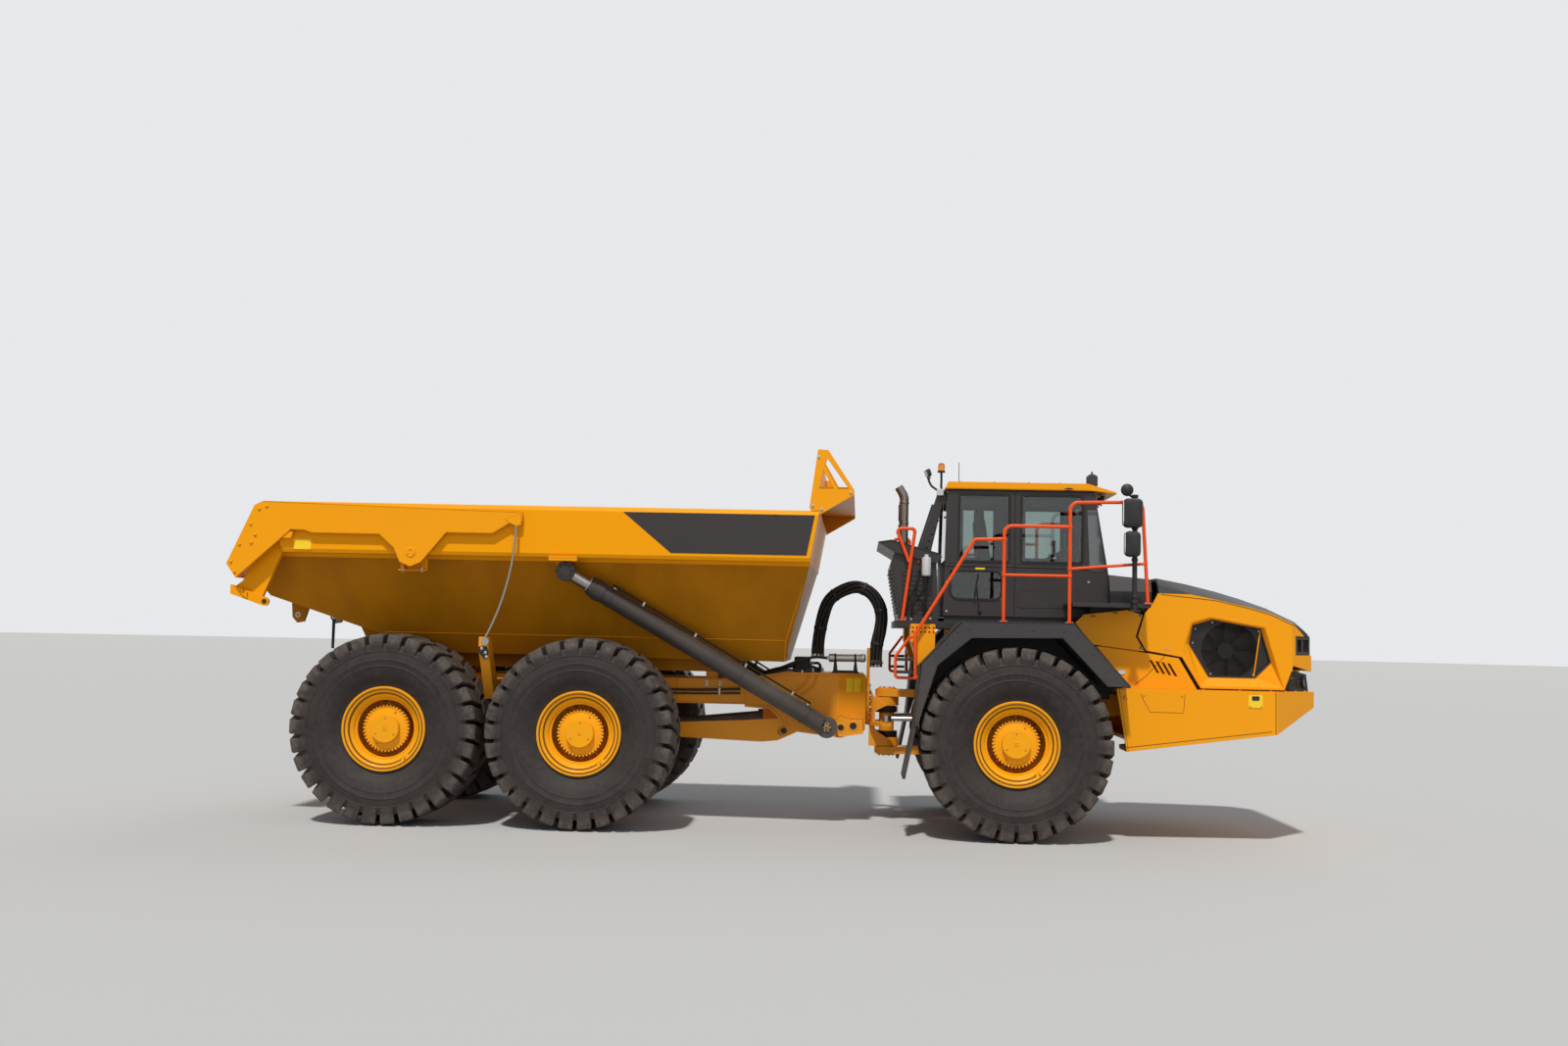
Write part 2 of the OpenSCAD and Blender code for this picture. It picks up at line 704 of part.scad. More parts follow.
// Mesh in each hexagonal window, and the slotted band around the nose
module hood_grilles() {
    y = hood_half - hex_deep - 10;
    color(black) placed() {
        both_sides() intersection() {
            slab_y(hexagon, [y, y + 8]);
            union() {
                for (x = [1990 : 76 : 2900]) block([x, x + 14], [y, y + 8], [1800, 2500]);
                for (z = [1850 : 76 : 2500]) block([1900, 3000], [y, y + 8], [z, z + 14]);
            }
        }
        difference() {
            intersection() {
                slab_z([[3175, -1200], [3392, -998], [3392, 998], [3175, 1200]], nose_band);
                slab_y(hood_outline, [-hood_half, hood_half]);
            }
            slab_z([[3170, -1170], [3362, -985], [3362, 985], [3170, 1170]],
                [nose_band[0] - 1, nose_band[1] + 1]);
            for (y = [-900 : 90 : 860])
                block([3350, 3400], [y, y + 50], [nose_band[0] + 30, nose_band[1] - 30]);
        }
    }
}

module cab_door() {
    c = 6;
    color(dark) placed() difference() {
        union() {
            block([door_x[0] + c, door_x[1] - c], [cab_half - cab_wall, cab_half],
                [door_z[0] + c, door_z[1] - c]);
            for (z = hinge_heights)
                hinge_leaf([door_hinge[0] + 8, door_hinge[0] + 60], [z + 30 + seat, z + 60]);
        }
        window_cut(front_window, [0, cab_half + 1]);
        for (z = hinge_heights)
            translate([door_hinge[0], door_hinge[1], z]) cylinder(h = 70, r = 8 + fit);
    }
}

module door_glass() {
    y = cab_half - cab_wall / 2;
    color("#9fb4b8", 0.4) placed() window_cut(front_window, [y, y + glass]);
}

// Cast link between the steering pivot and the roll bearing
module hitch_link() {
    bore = steer_pin_r + fit;
    color(yellow) placed() {
        difference() {
            union() {
                for (z = [[908, 1010], [1390, 1492]])
                    translate([x_pivot, 0, z[0]]) cylinder(h = z[1] - z[0], r = 145);
                slab_y([[x_pivot, 1390], [x_pivot - 155, 1492], [x_pivot - 210, 1600], [x_pivot - 210, 1180],
                    [x_pivot - 210, 908], [x_pivot, 908], [x_pivot, 1010], [x_pivot - 140, 1100],
                    [x_pivot - 140, 1320]], [-145, 145]);
                both_sides() steer_lug();
            }
            translate([x_pivot, 0, 800]) cylinder(h = 800, r = bore);
        }
        translate([x_pivot - 210, 0, roll_z]) rotate([0, -90, 0]) cylinder(h = 40, r = roll_flange_r);
        translate([x_pivot - 249, 0, roll_z]) rotate([0, -90, 0]) cylinder(h = 350, r = roll_r);
        block([x_pivot - 249, x_pivot - 212], [-60, 60], [1700, 2080]);
    }
}

// Lug that a steering rod pushes on, below the rod's eye
module steer_lug() {
    slab_z([[x_pivot - 200, 100], [x_pivot - 200, 200], [x_pivot - 60, steer_arm + 50],
        [x_pivot + 50, steer_arm + 50], [x_pivot + 50, steer_arm - 60], [x_pivot - 130, 100]],
        [steer_z - 100, steer_z - 50]);
}

module steer_barrel(side) {
    d = steer_eye - steer_base;
    color(charcoal) placed() on_side(side) difference() {
        union() {
            translate(steer_base) cylinder(h = 80, r = 75, center = true);
            translate(steer_base) aim(d) cylinder(h = 100, r = 39);
            translate(steer_base) aim(d) translate([0, 0, 90])
                cylinder(h = steer_barrel_l - 90, r = steer_barrel_r);
        }
        translate(steer_base) aim(d) translate([0, 0, 120]) cylinder(h = steer_barrel_l, r = 30 + fit);
        translate(steer_base) cylinder(h = 200, r = steer_bolt_r + fit, center = true);
    }
}

module steer_rod(side) {
    d = steer_eye - steer_base;
    color(steel) placed() on_side(side) {
        translate(steer_base) aim(d) translate([0, 0, 400]) cylinder(h = norm(d) - 400, r = 30);
        translate(steer_eye) cylinder(h = 70, r = 60, center = true);
    }
}

module rear_frame() {
    bearing = x_pivot - 255;
    beam = [-7700, -3100];
    color(yellow) placed() {
        difference() {
            intersection() {
                slab_y([[bearing, 1180], [bearing, 1740], [bearing - 45, 1775],
                    [-2620, 1775], [-3100, 1700], [-3100, 1350], [-2800, 1330], [-2560, 1080],
                    [-1945, 1010], [bearing - 7, 1095]], [-450, 450]);
                slab_z([[bearing, -330], [bearing, 330], [-1980, 450], [-3100, 450], [-3100, -450],
                    [-1980, -450]], [1000, 1800]);
            }
            translate([bearing + 6, 0, roll_z]) rotate([0, -90, 0]) cylinder(h = 352, r = roll_r + fit);
        }
        both_sides() block(beam, beam_y, beam_z);
        for (x = [-4000, -6600, -7690]) block([x, x + 120], [-beam_y[0], beam_y[0]], [1400, 1660]);
        both_sides() for (x = pads) block([x - 70, x + 70], [beam_y[0] + 20, beam_y[1] - 20],
            [beam_z[1] - 1, body_beam_z - seat]);
        both_sides() slab_y([[-7640, 1680], [-7590, tip_z], [-7500, tip_z + 100], [-7410, tip_z],
            [-7300, 1680]], [350, 450]);
        disc_y(x_tip, tip_z, tip_pin_r, [-600, 600]);
        block([-2900, -2700], [-90, 90], [1150, 1345]);
        both_sides() rope_bracket();
        both_sides() disc_y(x_mid - bogie / 2, axle_z + 40, 110, [330, 780]);
        both_sides() block([x_mid - bogie / 2 - 110, x_mid - bogie / 2 + 110], [335, 465], [axle_z, 1400]);
        both_sides() axle_stay();
        tow_lug();
    }
}

// Stub on each side of the frame with the ball and pin that a hoist cylinder turns on
module hoist_feet() {
    color(yellow) placed() both_sides() {
        disc_y(hoist_low[0], hoist_low[2], 45, [450 + seat, hoist_low_half - 25]);
        translate(hoist_low) sphere(r = hoist_ball_r);
        bar(hoist_low - 105 * hoist_axis, hoist_low + 105 * hoist_axis, hoist_pin_r);
    }
}

// Stay from the frame's nose towards the middle axle
module axle_stay() {
    difference() {
        slab_y([[x_mid + 200, axle_z - 70], [x_mid + 200, axle_z + 40], [-3100, 1190], [-2500, 1240],
            [-2480, 1060], [-2700, 960], [-2900, 940]], [330, 430]);
        disc_y(-2650, 1070, 50, [320, 440]);
    }
}

// Lug for a shackle behind the rear cross member
module tow_lug() {
    end = -7690;
    difference() {
        union() {
            slab_z([[end + 10, -110], [end + 10, 110], [end - 80, 70], [end - 80, -70]], tow_z);
            translate([end - 90, 0, tow_z[0]]) cylinder(h = tow_z[1] - tow_z[0], r = 78);
        }
        translate([end - 90, 0, tow_z[0] - 1]) cylinder(h = 100, r = tow_r);
    }
}

// Bracket that the tailgate's rope is tied to, between the middle and rear tyres
module rope_bracket() {
    slab_x([[460, 1420], [1500, 1420], [1780, 1850], [rope_y - 14, 1960], [rope_y - 14, 2120],
        [1760, 2120], [1640, 1960], [1380, 1640], [460, 1640]], [-5985, -5875]);
}

module bogie_beams() {
    x = x_mid - bogie / 2;
    color(yellow) placed() both_sides() difference() {
        union() {
            slab_y([[x_mid, axle_z - 120], [x_mid, axle_z + 120], [x + 180, 1300], [x - 180, 1300],
                [x_rear, axle_z + 120], [x_rear, axle_z - 120], [x, 900]], [600, 760]);
            for (x = [x_mid, x_rear]) disc_y(x, axle_z, 205, [600, 760]);
        }
        disc_y(x, axle_z + 40, 110 + fit, [590, 770]);
        for (x = [x_mid, x_rear]) disc_y(x, axle_z, 140 + seat, [590, 770]);
    }
}

module rear_axles() {
    color(yellow) placed() {
        axle(x_mid);
        axle(x_rear);
    }
}

module drive_shafts() {
    color(steel) placed() {
        bar([x_mid + 260 + seat, 0, axle_z], [x_mid + 330, 0, axle_z], 70);
        bar([x_mid + 300, 0, axle_z], [-2930, 0, 1240], 50);
        bar([-2960, 0, 1240], [-2900 - seat, 0, 1240], 70);
        bar([x_mid - 260 - seat, 0, axle_z], [x_rear + 260 + seat, 0, axle_z], 50);
    }
}

module hose_arch() {
    front = x_pivot - 212 + hose_r + seat;
    color(black) placed() tube([[front, 1850], [front, 2100], [-1480, 2450], [-1560, 2700], [-1790, 2850],
        [-2150, 2700], [-2235, 2250], [-2250, 1960]], 0, hose_r, 220);
}

// Dump body outlines: from the side and across, drawn inwards by a wall
function body_side(m) = [[-2620 - m, floor_z + m], [-2315 - m, rail_low], [-2215 - m, body_top + 2 * m],
    [-8490 - 9 * m, body_top + 2 * m], [-8735 - 9 * m, 2700 + m], [-8620, 2545 + m], [-7324, 2110 + m],
    [-6500, floor_z + 25 + m]];
function body_across(m) = [[-800 + m, floor_z + m], [-980 + m, 2150 + m / 2], [m - rail_in - 20, rail_low],
    [m - rail_in - 20, body_top + 2 * m], [rail_in + 20 - m, body_top + 2 * m], [rail_in + 20 - m, rail_low],
    [980 - m, 2150 + m / 2], [800 - m, floor_z + m]];

ear_t = 25;

module dump_body() {
    rail = [[rail_in, rail_low + 90], [rail_out - 130, rail_low], [rail_out - 20, rail_low],
        [rail_out, rail_low + 40], [rail_out, body_top - 50], [rail_out - 30, body_top],
        [rail_in, body_top]];
    color(yellow) placed() difference() {
        union() {
            intersection() {
                slab_y(body_side(0), [-rail_out, rail_out]);
                slab_x(body_across(0), [-9000, -2000]);
            }
            both_sides() intersection() {
                slab_x(rail, [-9000, -2000]);
                slab_y([[-2315, rail_low], [-2215, body_top], [-8490, body_top], [-8290, rail_low]],
                    [rail_in - 1, rail_out + 1]);
            }
            both_sides() body_fittings();
        }
        intersection() {
            slab_y(body_side(body_wall), [-rail_out, rail_out]);
            slab_x(body_across(body_wall), [-9000, -2000]);
        }
        disc_y(x_tip, tip_z, tip_pin_r + fit, [-700, 700]);
        both_sides() disc_y(gate_pivot[0], gate_pivot[1], gate_pin_r + fit, [rail_in + 60, rail_out + 1]);
    }
}

// Ears, beams and plates that the body carries on each side
module body_fittings() {
    tip_ear();
    slab_y([[-7200, body_beam_z], [-3150, body_beam_z], [-3150, floor_z + 20], [-6500, floor_z + 45],
        [-7200, floor_z + 200]], [beam_y[0] + 10, beam_y[1] - 10]);
    block([-5243, -4923], [rail_out - 60, rail_out + 18], [rail_low - 40, rail_low + 15]);
    slab_y([[-5243, rail_low + 20], [-4950, rail_low + 20], [-5040, 2985], [-5075, 2935],
        [-5110, 2880], [-5122, 2858], [-5180, 2858]], [rail_in + 5, rail_in + ear_t]);
    slab_y([[-8300, 3090], [-8335, 3189], [-8640, 2990], [-8760, 2700], [-8850, 2630], [-8530, 2520]],
        [rail_in + 160, rail_in + 220]);
    tail_bar();
    slab_y([[-8560, 2550], [-8330, 2470], [-8400, 2250], [-8480, 2235], [-8540, 2300]], [650, 700]);
}

// Bar with an eye at the chute's lower corner
module tail_bar() {
    y = [rail_in + 219, rail_in + 260];
    difference() {
        union() {
            slab_y([[-8888, 2652], [-8475, 2512], [-8507, 2418], [-8888, 2545]], y);
            disc_y(-8491, 2465, 49, y);
        }
        disc_y(-8491, 2465, 16, [y[0] - 1, y[1] + 1]);
    }
}

// Ear under the floor that turns on the tipping hinge's pin
module tip_ear() {
    slab_y([[x_tip - 110, tip_z], [x_tip - 250, 2230], [x_tip + 400, 2080], [x_tip + 300, tip_z + 20],
        [x_tip + 110, tip_z]], [480, 580]);
    disc_y(x_tip, tip_z, 110, [480, 580]);
}

module spill_guard() {
    apex = [-2150, 4296];
    color(yellow) placed() {
        both_sides() difference() {
            slab_y([[-2312, body_top + seat], [-2330, 3640], [-2245, 4296], [apex[0] + 20, 4290],
                [-1832, 3845], [-1832, 3790], [-2213, 3562], [-2214, body_top + seat]],
                [rail_out - 60, rail_out - 20]);
            for (t = [[[-2220, 3870], [-2180, 4060], [-2070, 3870]], [[-2010, 3870], [-2160, 4130],
                [-2140, 4200], [-1900, 3870]]])
                slab_y(t, [rail_out - 70, rail_out - 10]);
        }
        slab_y([[-2312, body_top + seat], [-2245, 4296], [-2225, 4296], [-2290, body_top + seat]],
            [-rail_out + 60, rail_out - 60]);
        slab_y([[-2262, 3845], [-1832, 3845], [-1832, 3815], [-2266, 3815]], [-rail_out + 60, rail_out - 60]);
    }
}

module tailgate() {
    side = [[-8603, 3552], [-tail_reach, 2882], [-8786, 2726], [-8186, 3276], [-8020, 3276],
        [-7939, 3245], [-7157, 3243], [-6990, 3096], [-6920, 2940], [-6799, 2890], [-6680, 2940],
        [-6408, 3275], [-5877, 3275], [-5683, 3396], [-5547, 3416], [-5547, 3525], [-8500, 3600]];
    color(yellow) placed() {
        both_sides() slab_y(side, [arm_in, arm_in + arm_t]);
        slab_y([[-8603, 3552], [-tail_reach, 2882], [-8786, 2726], [-8850, 2890], [-8570, 3530]],
            [-arm_in, arm_in]);
        both_sides() disc_y(gate_pivot[0], gate_pivot[1], gate_pin_r, [rail_in + 65, arm_in]);
    }
}

// Rope bowed forward between its foot and its top, as an arc of the given sag
module tailgate_ropes() {
    a = [rope_foot[0], rope_foot[1] + 40];
    b = [rope_top[0], rope_top[1] - 30];
    chord = norm(b - a);
    bow_r = (chord * chord / 4 + rope_sag * rope_sag) / (2 * rope_sag);
    half = asin(chord / 2 / bow_r);
    color(black) placed() both_sides() {
        translate([(a[0] + b[0]) / 2, rope_y, (a[1] + b[1]) / 2])
            rotate([90, 90 - atan2(b[1] - a[1], b[0] - a[0]), 0])
            translate([-sqrt(bow_r * bow_r - chord * chord / 4), 0, 0]) rotate([0, 0, -half])
            rotate_extrude(angle = 2 * half) translate([bow_r, 0]) circle(r = rope_r);
        disc_y(rope_foot[0], rope_foot[1], 45, [rope_y - 12, rope_y + 14]);
    }
}

module hoist_barrel(side) {
    d = hoist_high - hoist_low;
    color(charcoal) placed() on_side(side) difference() {
        union() {
            disc_y(hoist_low[0], hoist_low[2], 125, [hoist_low_half - 60, hoist_low_half + 60]);
            translate(hoist_low) aim(d) translate([0, 0, 90]) cylinder(h = hoist_barrel_l - 90, r = hoist_r);
            translate(hoist_low) aim(d) translate([0, 0, hoist_barrel_l - 160])
                cylinder(h = 110, r = hoist_r + 12);
        }
        translate(hoist_low) sphere(r = hoist_ball_r + fit);
        bar(hoist_low - 115 * hoist_axis, hoist_low + 115 * hoist_axis, hoist_pin_r + fit);
        disc_y(hoist_low[0], hoist_low[2], 53.5, [hoist_low_half - 90, hoist_low_half + 90]);
        translate(hoist_low) aim(d) translate([0, 0, 160])
            cylinder(h = hoist_barrel_l, r = hoist_rod_r + fit);
    }
}

module hoist_rod(side) {
    d = hoist_high - hoist_low;
    color(steel) placed() on_side(side) {
        translate(hoist_low) aim(d) translate([0, 0, 200]) cylinder(h = norm(d) - 200, r = hoist_rod_r);
        disc_y(hoist_high[0], hoist_high[2], 105, [hoist_high_half - 50, hoist_high_half + 50]);
        disc_y(hoist_high[0], hoist_high[2], 40, [rail_in + ear_t + 5, hoist_high_half - 49]);
    }
}

front_frame();
steer_clevises();
front_axle();
engine();
cooling_pack();
bumper();
side_panels();
mudguards();
deck();
cab_shell();
cab_glass();
cab_roof();
cab_interior();
handrails();
exhaust();
rear_module();
mirrors();
lamps();
hood();
hood_top();
hood_grilles();
cab_door();
door_glass();
fan(left);  // fan_left
fan(right);  // fan_right
hitch_link();
steer_barrel(left);  // steer_barrel_left
steer_barrel(right);  // steer_barrel_right
steer_rod(left);  // steer_rod_left
steer_rod(right);  // steer_rod_right
rear_frame();
hoist_feet();
bogie_beams();
rear_axles();
hose_arch();
drive_shafts();
dump_body();
spill_guard();
tailgate();
tailgate_ropes();
hoist_barrel(left);  // hoist_barrel_left
hoist_barrel(right);  // hoist_barrel_right
hoist_rod(left);  // hoist_rod_left
hoist_rod(right);  // hoist_rod_right
color(black) placed() tyre(0, left);  // tyre_front_left
color(black) placed() tyre(0, right);  // tyre_front_right
color(black) placed() tyre(x_mid, left);  // tyre_mid_left
color(black) placed() tyre(x_mid, right);  // tyre_mid_right
color(black) placed() tyre(x_rear, left);  // tyre_rear_left
color(black) placed() tyre(x_rear, right);  // tyre_rear_right
color(yellow) placed() rim(0, left);  // rim_front_left
color(yellow) placed() rim(0, right);  // rim_front_right
color(yellow) placed() rim(x_mid, left);  // rim_mid_left
color(yellow) placed() rim(x_mid, right);  // rim_mid_right
color(yellow) placed() rim(x_rear, left);  // rim_rear_left
color(yellow) placed() rim(x_rear, right);  // rim_rear_right
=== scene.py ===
# %% [markdown]
# This lesson dresses an articulated dump truck. The truck's solid shapes come from a imported CAD
# model, and Blender adds what is too fine for it: tread blocks, bolts, hoses, seals, meshes and
# the finishes. The first step loads the model and gives a helper that measures a part's box.
# Nothing that is added may make the truck bigger.

# %% Load the imported truck
import math
import random

import bmesh
import bpy
from mathutils import Matrix, Vector


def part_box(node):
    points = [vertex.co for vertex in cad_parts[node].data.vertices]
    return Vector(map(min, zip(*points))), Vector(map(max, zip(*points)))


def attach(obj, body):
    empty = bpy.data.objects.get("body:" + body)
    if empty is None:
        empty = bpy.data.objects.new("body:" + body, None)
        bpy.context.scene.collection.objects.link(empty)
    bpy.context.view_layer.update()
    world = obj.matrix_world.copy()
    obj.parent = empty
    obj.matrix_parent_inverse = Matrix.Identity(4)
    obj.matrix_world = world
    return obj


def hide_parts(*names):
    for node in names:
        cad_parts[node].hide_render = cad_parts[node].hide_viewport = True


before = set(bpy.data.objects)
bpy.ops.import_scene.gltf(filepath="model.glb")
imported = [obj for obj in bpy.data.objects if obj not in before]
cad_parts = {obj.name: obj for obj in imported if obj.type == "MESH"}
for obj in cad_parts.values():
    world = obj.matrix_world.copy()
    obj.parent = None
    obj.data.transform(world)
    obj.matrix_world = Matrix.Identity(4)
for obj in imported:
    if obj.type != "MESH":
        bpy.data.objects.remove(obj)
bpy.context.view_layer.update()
random.seed(60)

# %% [markdown]
# The truck was measured from its front axle, in millimetres forward, to the left and up. The
# model's own origin lies under the middle of the truck. One helper turns the measured numbers
# into the model's metres, so that every size below reads like the drawing it came from.

# %% Places on the truck
front_tyre_low, front_tyre_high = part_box("tyre_front_right")
axle_x = (front_tyre_low.x + front_tyre_high.x) / 2
axle_z = (front_tyre_low.z + front_tyre_high.z) / 2
MM = 0.001
SIDES = (("left", 1), ("right", -1))
BOTH = (1, -1)


def spot(x, y, z):
    return Vector((axle_x + x * MM, y * MM, z * MM))


print("front axle at", round(axle_x, 3), round(axle_z, 3))

# %% [markdown]
# The photograph shows the right side from about nineteen metres away, with the lens a little
# above the wheel tops. The camera stands at the same place and leans by the same small angles,
# so that the render can be laid over the photograph.

# %% Camera at the photograph's place
SENSOR_WIDTH = 36
FOCAL_PIXELS, PHOTO_WIDTH = 1592, 1600
camera_data = bpy.data.cameras.new("photo_camera")
camera_data.sensor_width = SENSOR_WIDTH
camera_data.lens = SENSOR_WIDTH * FOCAL_PIXELS / PHOTO_WIDTH
camera_data.clip_end = 600
photo_camera = bpy.data.objects.new("photo_camera", camera_data)
bpy.context.scene.collection.objects.link(photo_camera)
turn, lift, lean = math.radians(2.852), math.radians(4.118), math.radians(1.256)
look = Vector((-math.sin(turn) * math.cos(lift), math.cos(turn) * math.cos(lift), math.sin(lift)))
level_right = Vector((math.cos(turn), math.sin(turn), 0))
level_up = level_right.cross(look)
lens_right = math.cos(lean) * level_right + math.sin(lean) * level_up
lens_up = math.cos(lean) * level_up - math.sin(lean) * level_right
photo_camera.matrix_world = Matrix.Translation(spot(-1745, -19139, 2209)) @ Matrix(
    (lens_right, lens_up, -look)).transposed().to_4x4()
bpy.context.scene.camera = photo_camera
print("lens", round(camera_data.lens, 2), "mm")

# %% [markdown]
# Every finish below is a small tree of shader nodes, and five helpers keep the trees readable.
# The first starts a material with an empty tree. The second gives a socket a plain value, or
# links it when the value is another node's output, and the third does so for several sockets by
# name. The last two add a node that way and add a step of arithmetic, whose result they return.

# %% Helpers: shader nodes
def node_material(name):
    material = bpy.data.materials.new(name)
    material.use_nodes = True
    material.node_tree.nodes.clear()
    return material, material.node_tree


def feed(tree, socket, value):
    if isinstance(value, bpy.types.NodeSocket):
        tree.links.new(value, socket)
    else:
        socket.default_value = value


def connect(tree, node, **sockets):
    for label, value in sockets.items():
        feed(tree, node.inputs[label.replace("_", " ")], value)


def add_node(tree, kind, settings=None, **sockets):
    node = tree.nodes.new("ShaderNode" + kind)
    for key, value in (settings or {}).items():
        setattr(node, key, value)
    connect(tree, node, **sockets)
    return node


def maths(tree, operation, *values, clamp=False):
    node = add_node(tree, "Math", {"operation": operation, "use_clamp": clamp})
    for socket, value in zip(node.inputs, values):
        feed(tree, socket, value)
    return node.outputs[0]


print("node helpers ready")

# %% [markdown]
# A studio keeps the light plain. The floor is a wide pale disc that fades into a pale world, and
# the world's colour is only seen by the camera and in reflections, so that it doesn't flatten
# the shadows. Three lamps have parallel rays, as daylight has, so that near and far wheels get
# the same light. The first stands high behind the camera, a little to its left, as the sun in the
# photograph, the second fills the far side and the third opens the shadows under the body.

# %% Floor, world and lamps
FLOOR_RADIUS, FLOOR_DROP = 260, 0.002
floor_finish, tree = node_material("studio_floor")
floor_grain = add_node(tree, "TexNoise", Scale=3)
floor_tone = add_node(tree, "MapRange", Value=floor_grain.outputs["Fac"], To_Min=0.50, To_Max=0.53)
floor_shader = add_node(tree, "BsdfPrincipled", Base_Color=floor_tone.outputs["Result"], Roughness=0.95,
                        Specular_IOR_Level=0.1)
add_node(tree, "OutputMaterial", Surface=floor_shader.outputs["BSDF"])

floor_mesh = bpy.data.meshes.new("studio_floor")
bm = bmesh.new()
bmesh.ops.create_circle(bm, cap_ends=True, segments=96, radius=FLOOR_RADIUS)
bm.to_mesh(floor_mesh)
bm.free()
studio_floor = bpy.data.objects.new("studio_floor", floor_mesh)
studio_floor.location = (0, 0, -FLOOR_DROP)
floor_mesh.materials.append(floor_finish)
bpy.context.scene.collection.objects.link(studio_floor)

world = bpy.data.worlds.new("studio_world")
bpy.context.scene.world = world
world.use_nodes = True
tree = world.node_tree
tree.nodes.clear()
rays = add_node(tree, "LightPath").outputs
seen = maths(tree, "MAXIMUM", maths(tree, "MAXIMUM", rays["Is Camera Ray"], rays["Is Glossy Ray"]),
             rays["Is Transmission Ray"])
pale = add_node(tree, "Background", Color=(0.80, 0.81, 0.83, 1))
ambient = add_node(tree, "Background", Color=(0.86, 0.93, 1.0, 1), Strength=0.30)
either = add_node(tree, "MixShader", Fac=seen)
feed(tree, either.inputs[1], ambient.outputs[0])
feed(tree, either.inputs[2], pale.outputs[0])
add_node(tree, "OutputWorld", Surface=either.outputs[0])


def daylight(name, direction, strength, softness, colour):
    lamp_data = bpy.data.lights.new(name, "SUN")
    lamp_data.energy = strength
    lamp_data.angle = math.radians(softness)
    lamp_data.color = colour
    lamp = bpy.data.objects.new(name, lamp_data)
    lamp.location = (0, 0, 12)
    lamp.rotation_euler = Vector(direction).to_track_quat("-Z", "Y").to_euler()
    bpy.context.scene.collection.objects.link(lamp)


daylight("sun_side", (0.08, 0.53, -0.845), 2.85, 3, (1.0, 0.965, 0.91))
daylight("far_side", (-0.35, -0.8, -0.7), 0.45, 40, (0.92, 0.96, 1.0))
daylight("front_fill", (-0.2, 1.0, -0.25), 0.42, 50, (1.0, 0.98, 0.95))
bpy.context.scene.view_settings.view_transform = "Standard"
print("lamps", len(bpy.data.lights))

# %% [markdown]
# Four effects return in several finishes, so each is a shader node group with named inputs. The
# first is a sprayed film of paint. A large soft noise shifts the colour's lightness by a few
# percent, as on a machine that has stood in the sun, and a very fine one gives the surface the
# slight unevenness that breaks up reflections.

# %% Effect: paint film
COLOUR, FLOAT, VECTOR = "NodeSocketColor", "NodeSocketFloat", "NodeSocketVector"


def new_group(name, inputs, outputs):
    group = bpy.data.node_groups.new(name, "ShaderNodeTree")
    for label, kind, value in inputs:
        socket = group.interface.new_socket(label, in_out="INPUT", socket_type=kind)
        socket.default_value = value
    for label, kind in outputs:
        group.interface.new_socket(label, in_out="OUTPUT", socket_type=kind)
    return group, group.nodes.new("NodeGroupInput").outputs, group.nodes.new("NodeGroupOutput")


def coordinates(tree):
    return add_node(tree, "TexCoord").outputs


def noise(tree, place, scale=5.0, detail=2.0, roughness=0.5):
    return add_node(tree, "TexNoise", Vector=place, Scale=scale, Detail=detail, Roughness=roughness).outputs["Fac"]


paint_film, given, made = new_group("paint film", [
    ("Colour", COLOUR, (0.8, 0.4, 0, 1)), ("Variation", FLOAT, 0.1), ("Gloss Roughness", FLOAT, 0.3),
    ("Patch Size", FLOAT, 0.8)], [("Colour", COLOUR), ("Roughness", FLOAT), ("Height", FLOAT)])
place = coordinates(paint_film)["Object"]
patches = noise(paint_film, place, given["Patch Size"], 5.0, 0.6)
orange_peel = noise(paint_film, place, 160.0, 2.0)
centred = maths(paint_film, "SUBTRACT", patches, 0.5)
shifted = add_node(paint_film, "HueSaturation", Color=given["Colour"],
                   Value=maths(paint_film, "MULTIPLY_ADD", centred, given["Variation"], 1.0))
connect(paint_film, made, Colour=shifted.outputs["Color"], Height=orange_peel,
        Roughness=maths(paint_film, "MULTIPLY_ADD", centred, 0.25, given["Gloss Roughness"]))
print("group", paint_film.name)

# %% [markdown]
# The second effect is the quarry's dust. It lies on faces that look up, and it is thrown against
# the low parts of the truck, where it fades out with height. Both masks use the object's own
# coordinates, so the dust moves with a part when the part moves.

# %% Effect: settled dust
def spread(tree, value, from_min=0.0, from_max=1.0, to_min=0.0, to_max=1.0):
    return add_node(tree, "MapRange", Value=value, From_Min=from_min, From_Max=from_max, To_Min=to_min,
                    To_Max=to_max).outputs[0]


def laid_over(tree, mask, under, over):
    return add_node(tree, "Mix", {"data_type": "RGBA"}, Factor=mask, A=under, B=over).outputs["Result"]


settled_dust, given, made = new_group("settled dust", [
    ("Colour", COLOUR, (0.5, 0.5, 0.5, 1)), ("Roughness", FLOAT, 0.4), ("Dust Colour", COLOUR, (0.42, 0.31, 0.22, 1)),
    ("On Top", FLOAT, 0.5), ("Thrown Up", FLOAT, 0.5), ("Fades Out At", FLOAT, 2.2)],
    [("Colour", COLOUR), ("Roughness", FLOAT), ("Mask", FLOAT)])
place = coordinates(settled_dust)
facing = add_node(settled_dust, "SeparateXYZ", Vector=place["Normal"]).outputs
height = add_node(settled_dust, "SeparateXYZ", Vector=place["Object"]).outputs
upward = spread(settled_dust, facing["Z"], 0.55, 1.0)
low_down = spread(settled_dust, height["Z"], 0.0, given["Fades Out At"], 1.0, 0.0)
clouds = spread(settled_dust, noise(settled_dust, place["Object"], 2.6, 8.0, 0.68), 0.33, 0.72)
specks = spread(settled_dust, noise(settled_dust, place["Object"], 38.0, 4.0, 0.7), 0.3, 0.75, 0.35, 1.0)
lying = maths(settled_dust, "ADD", maths(settled_dust, "MULTIPLY", upward, given["On Top"]),
              maths(settled_dust, "MULTIPLY", low_down, given["Thrown Up"]))
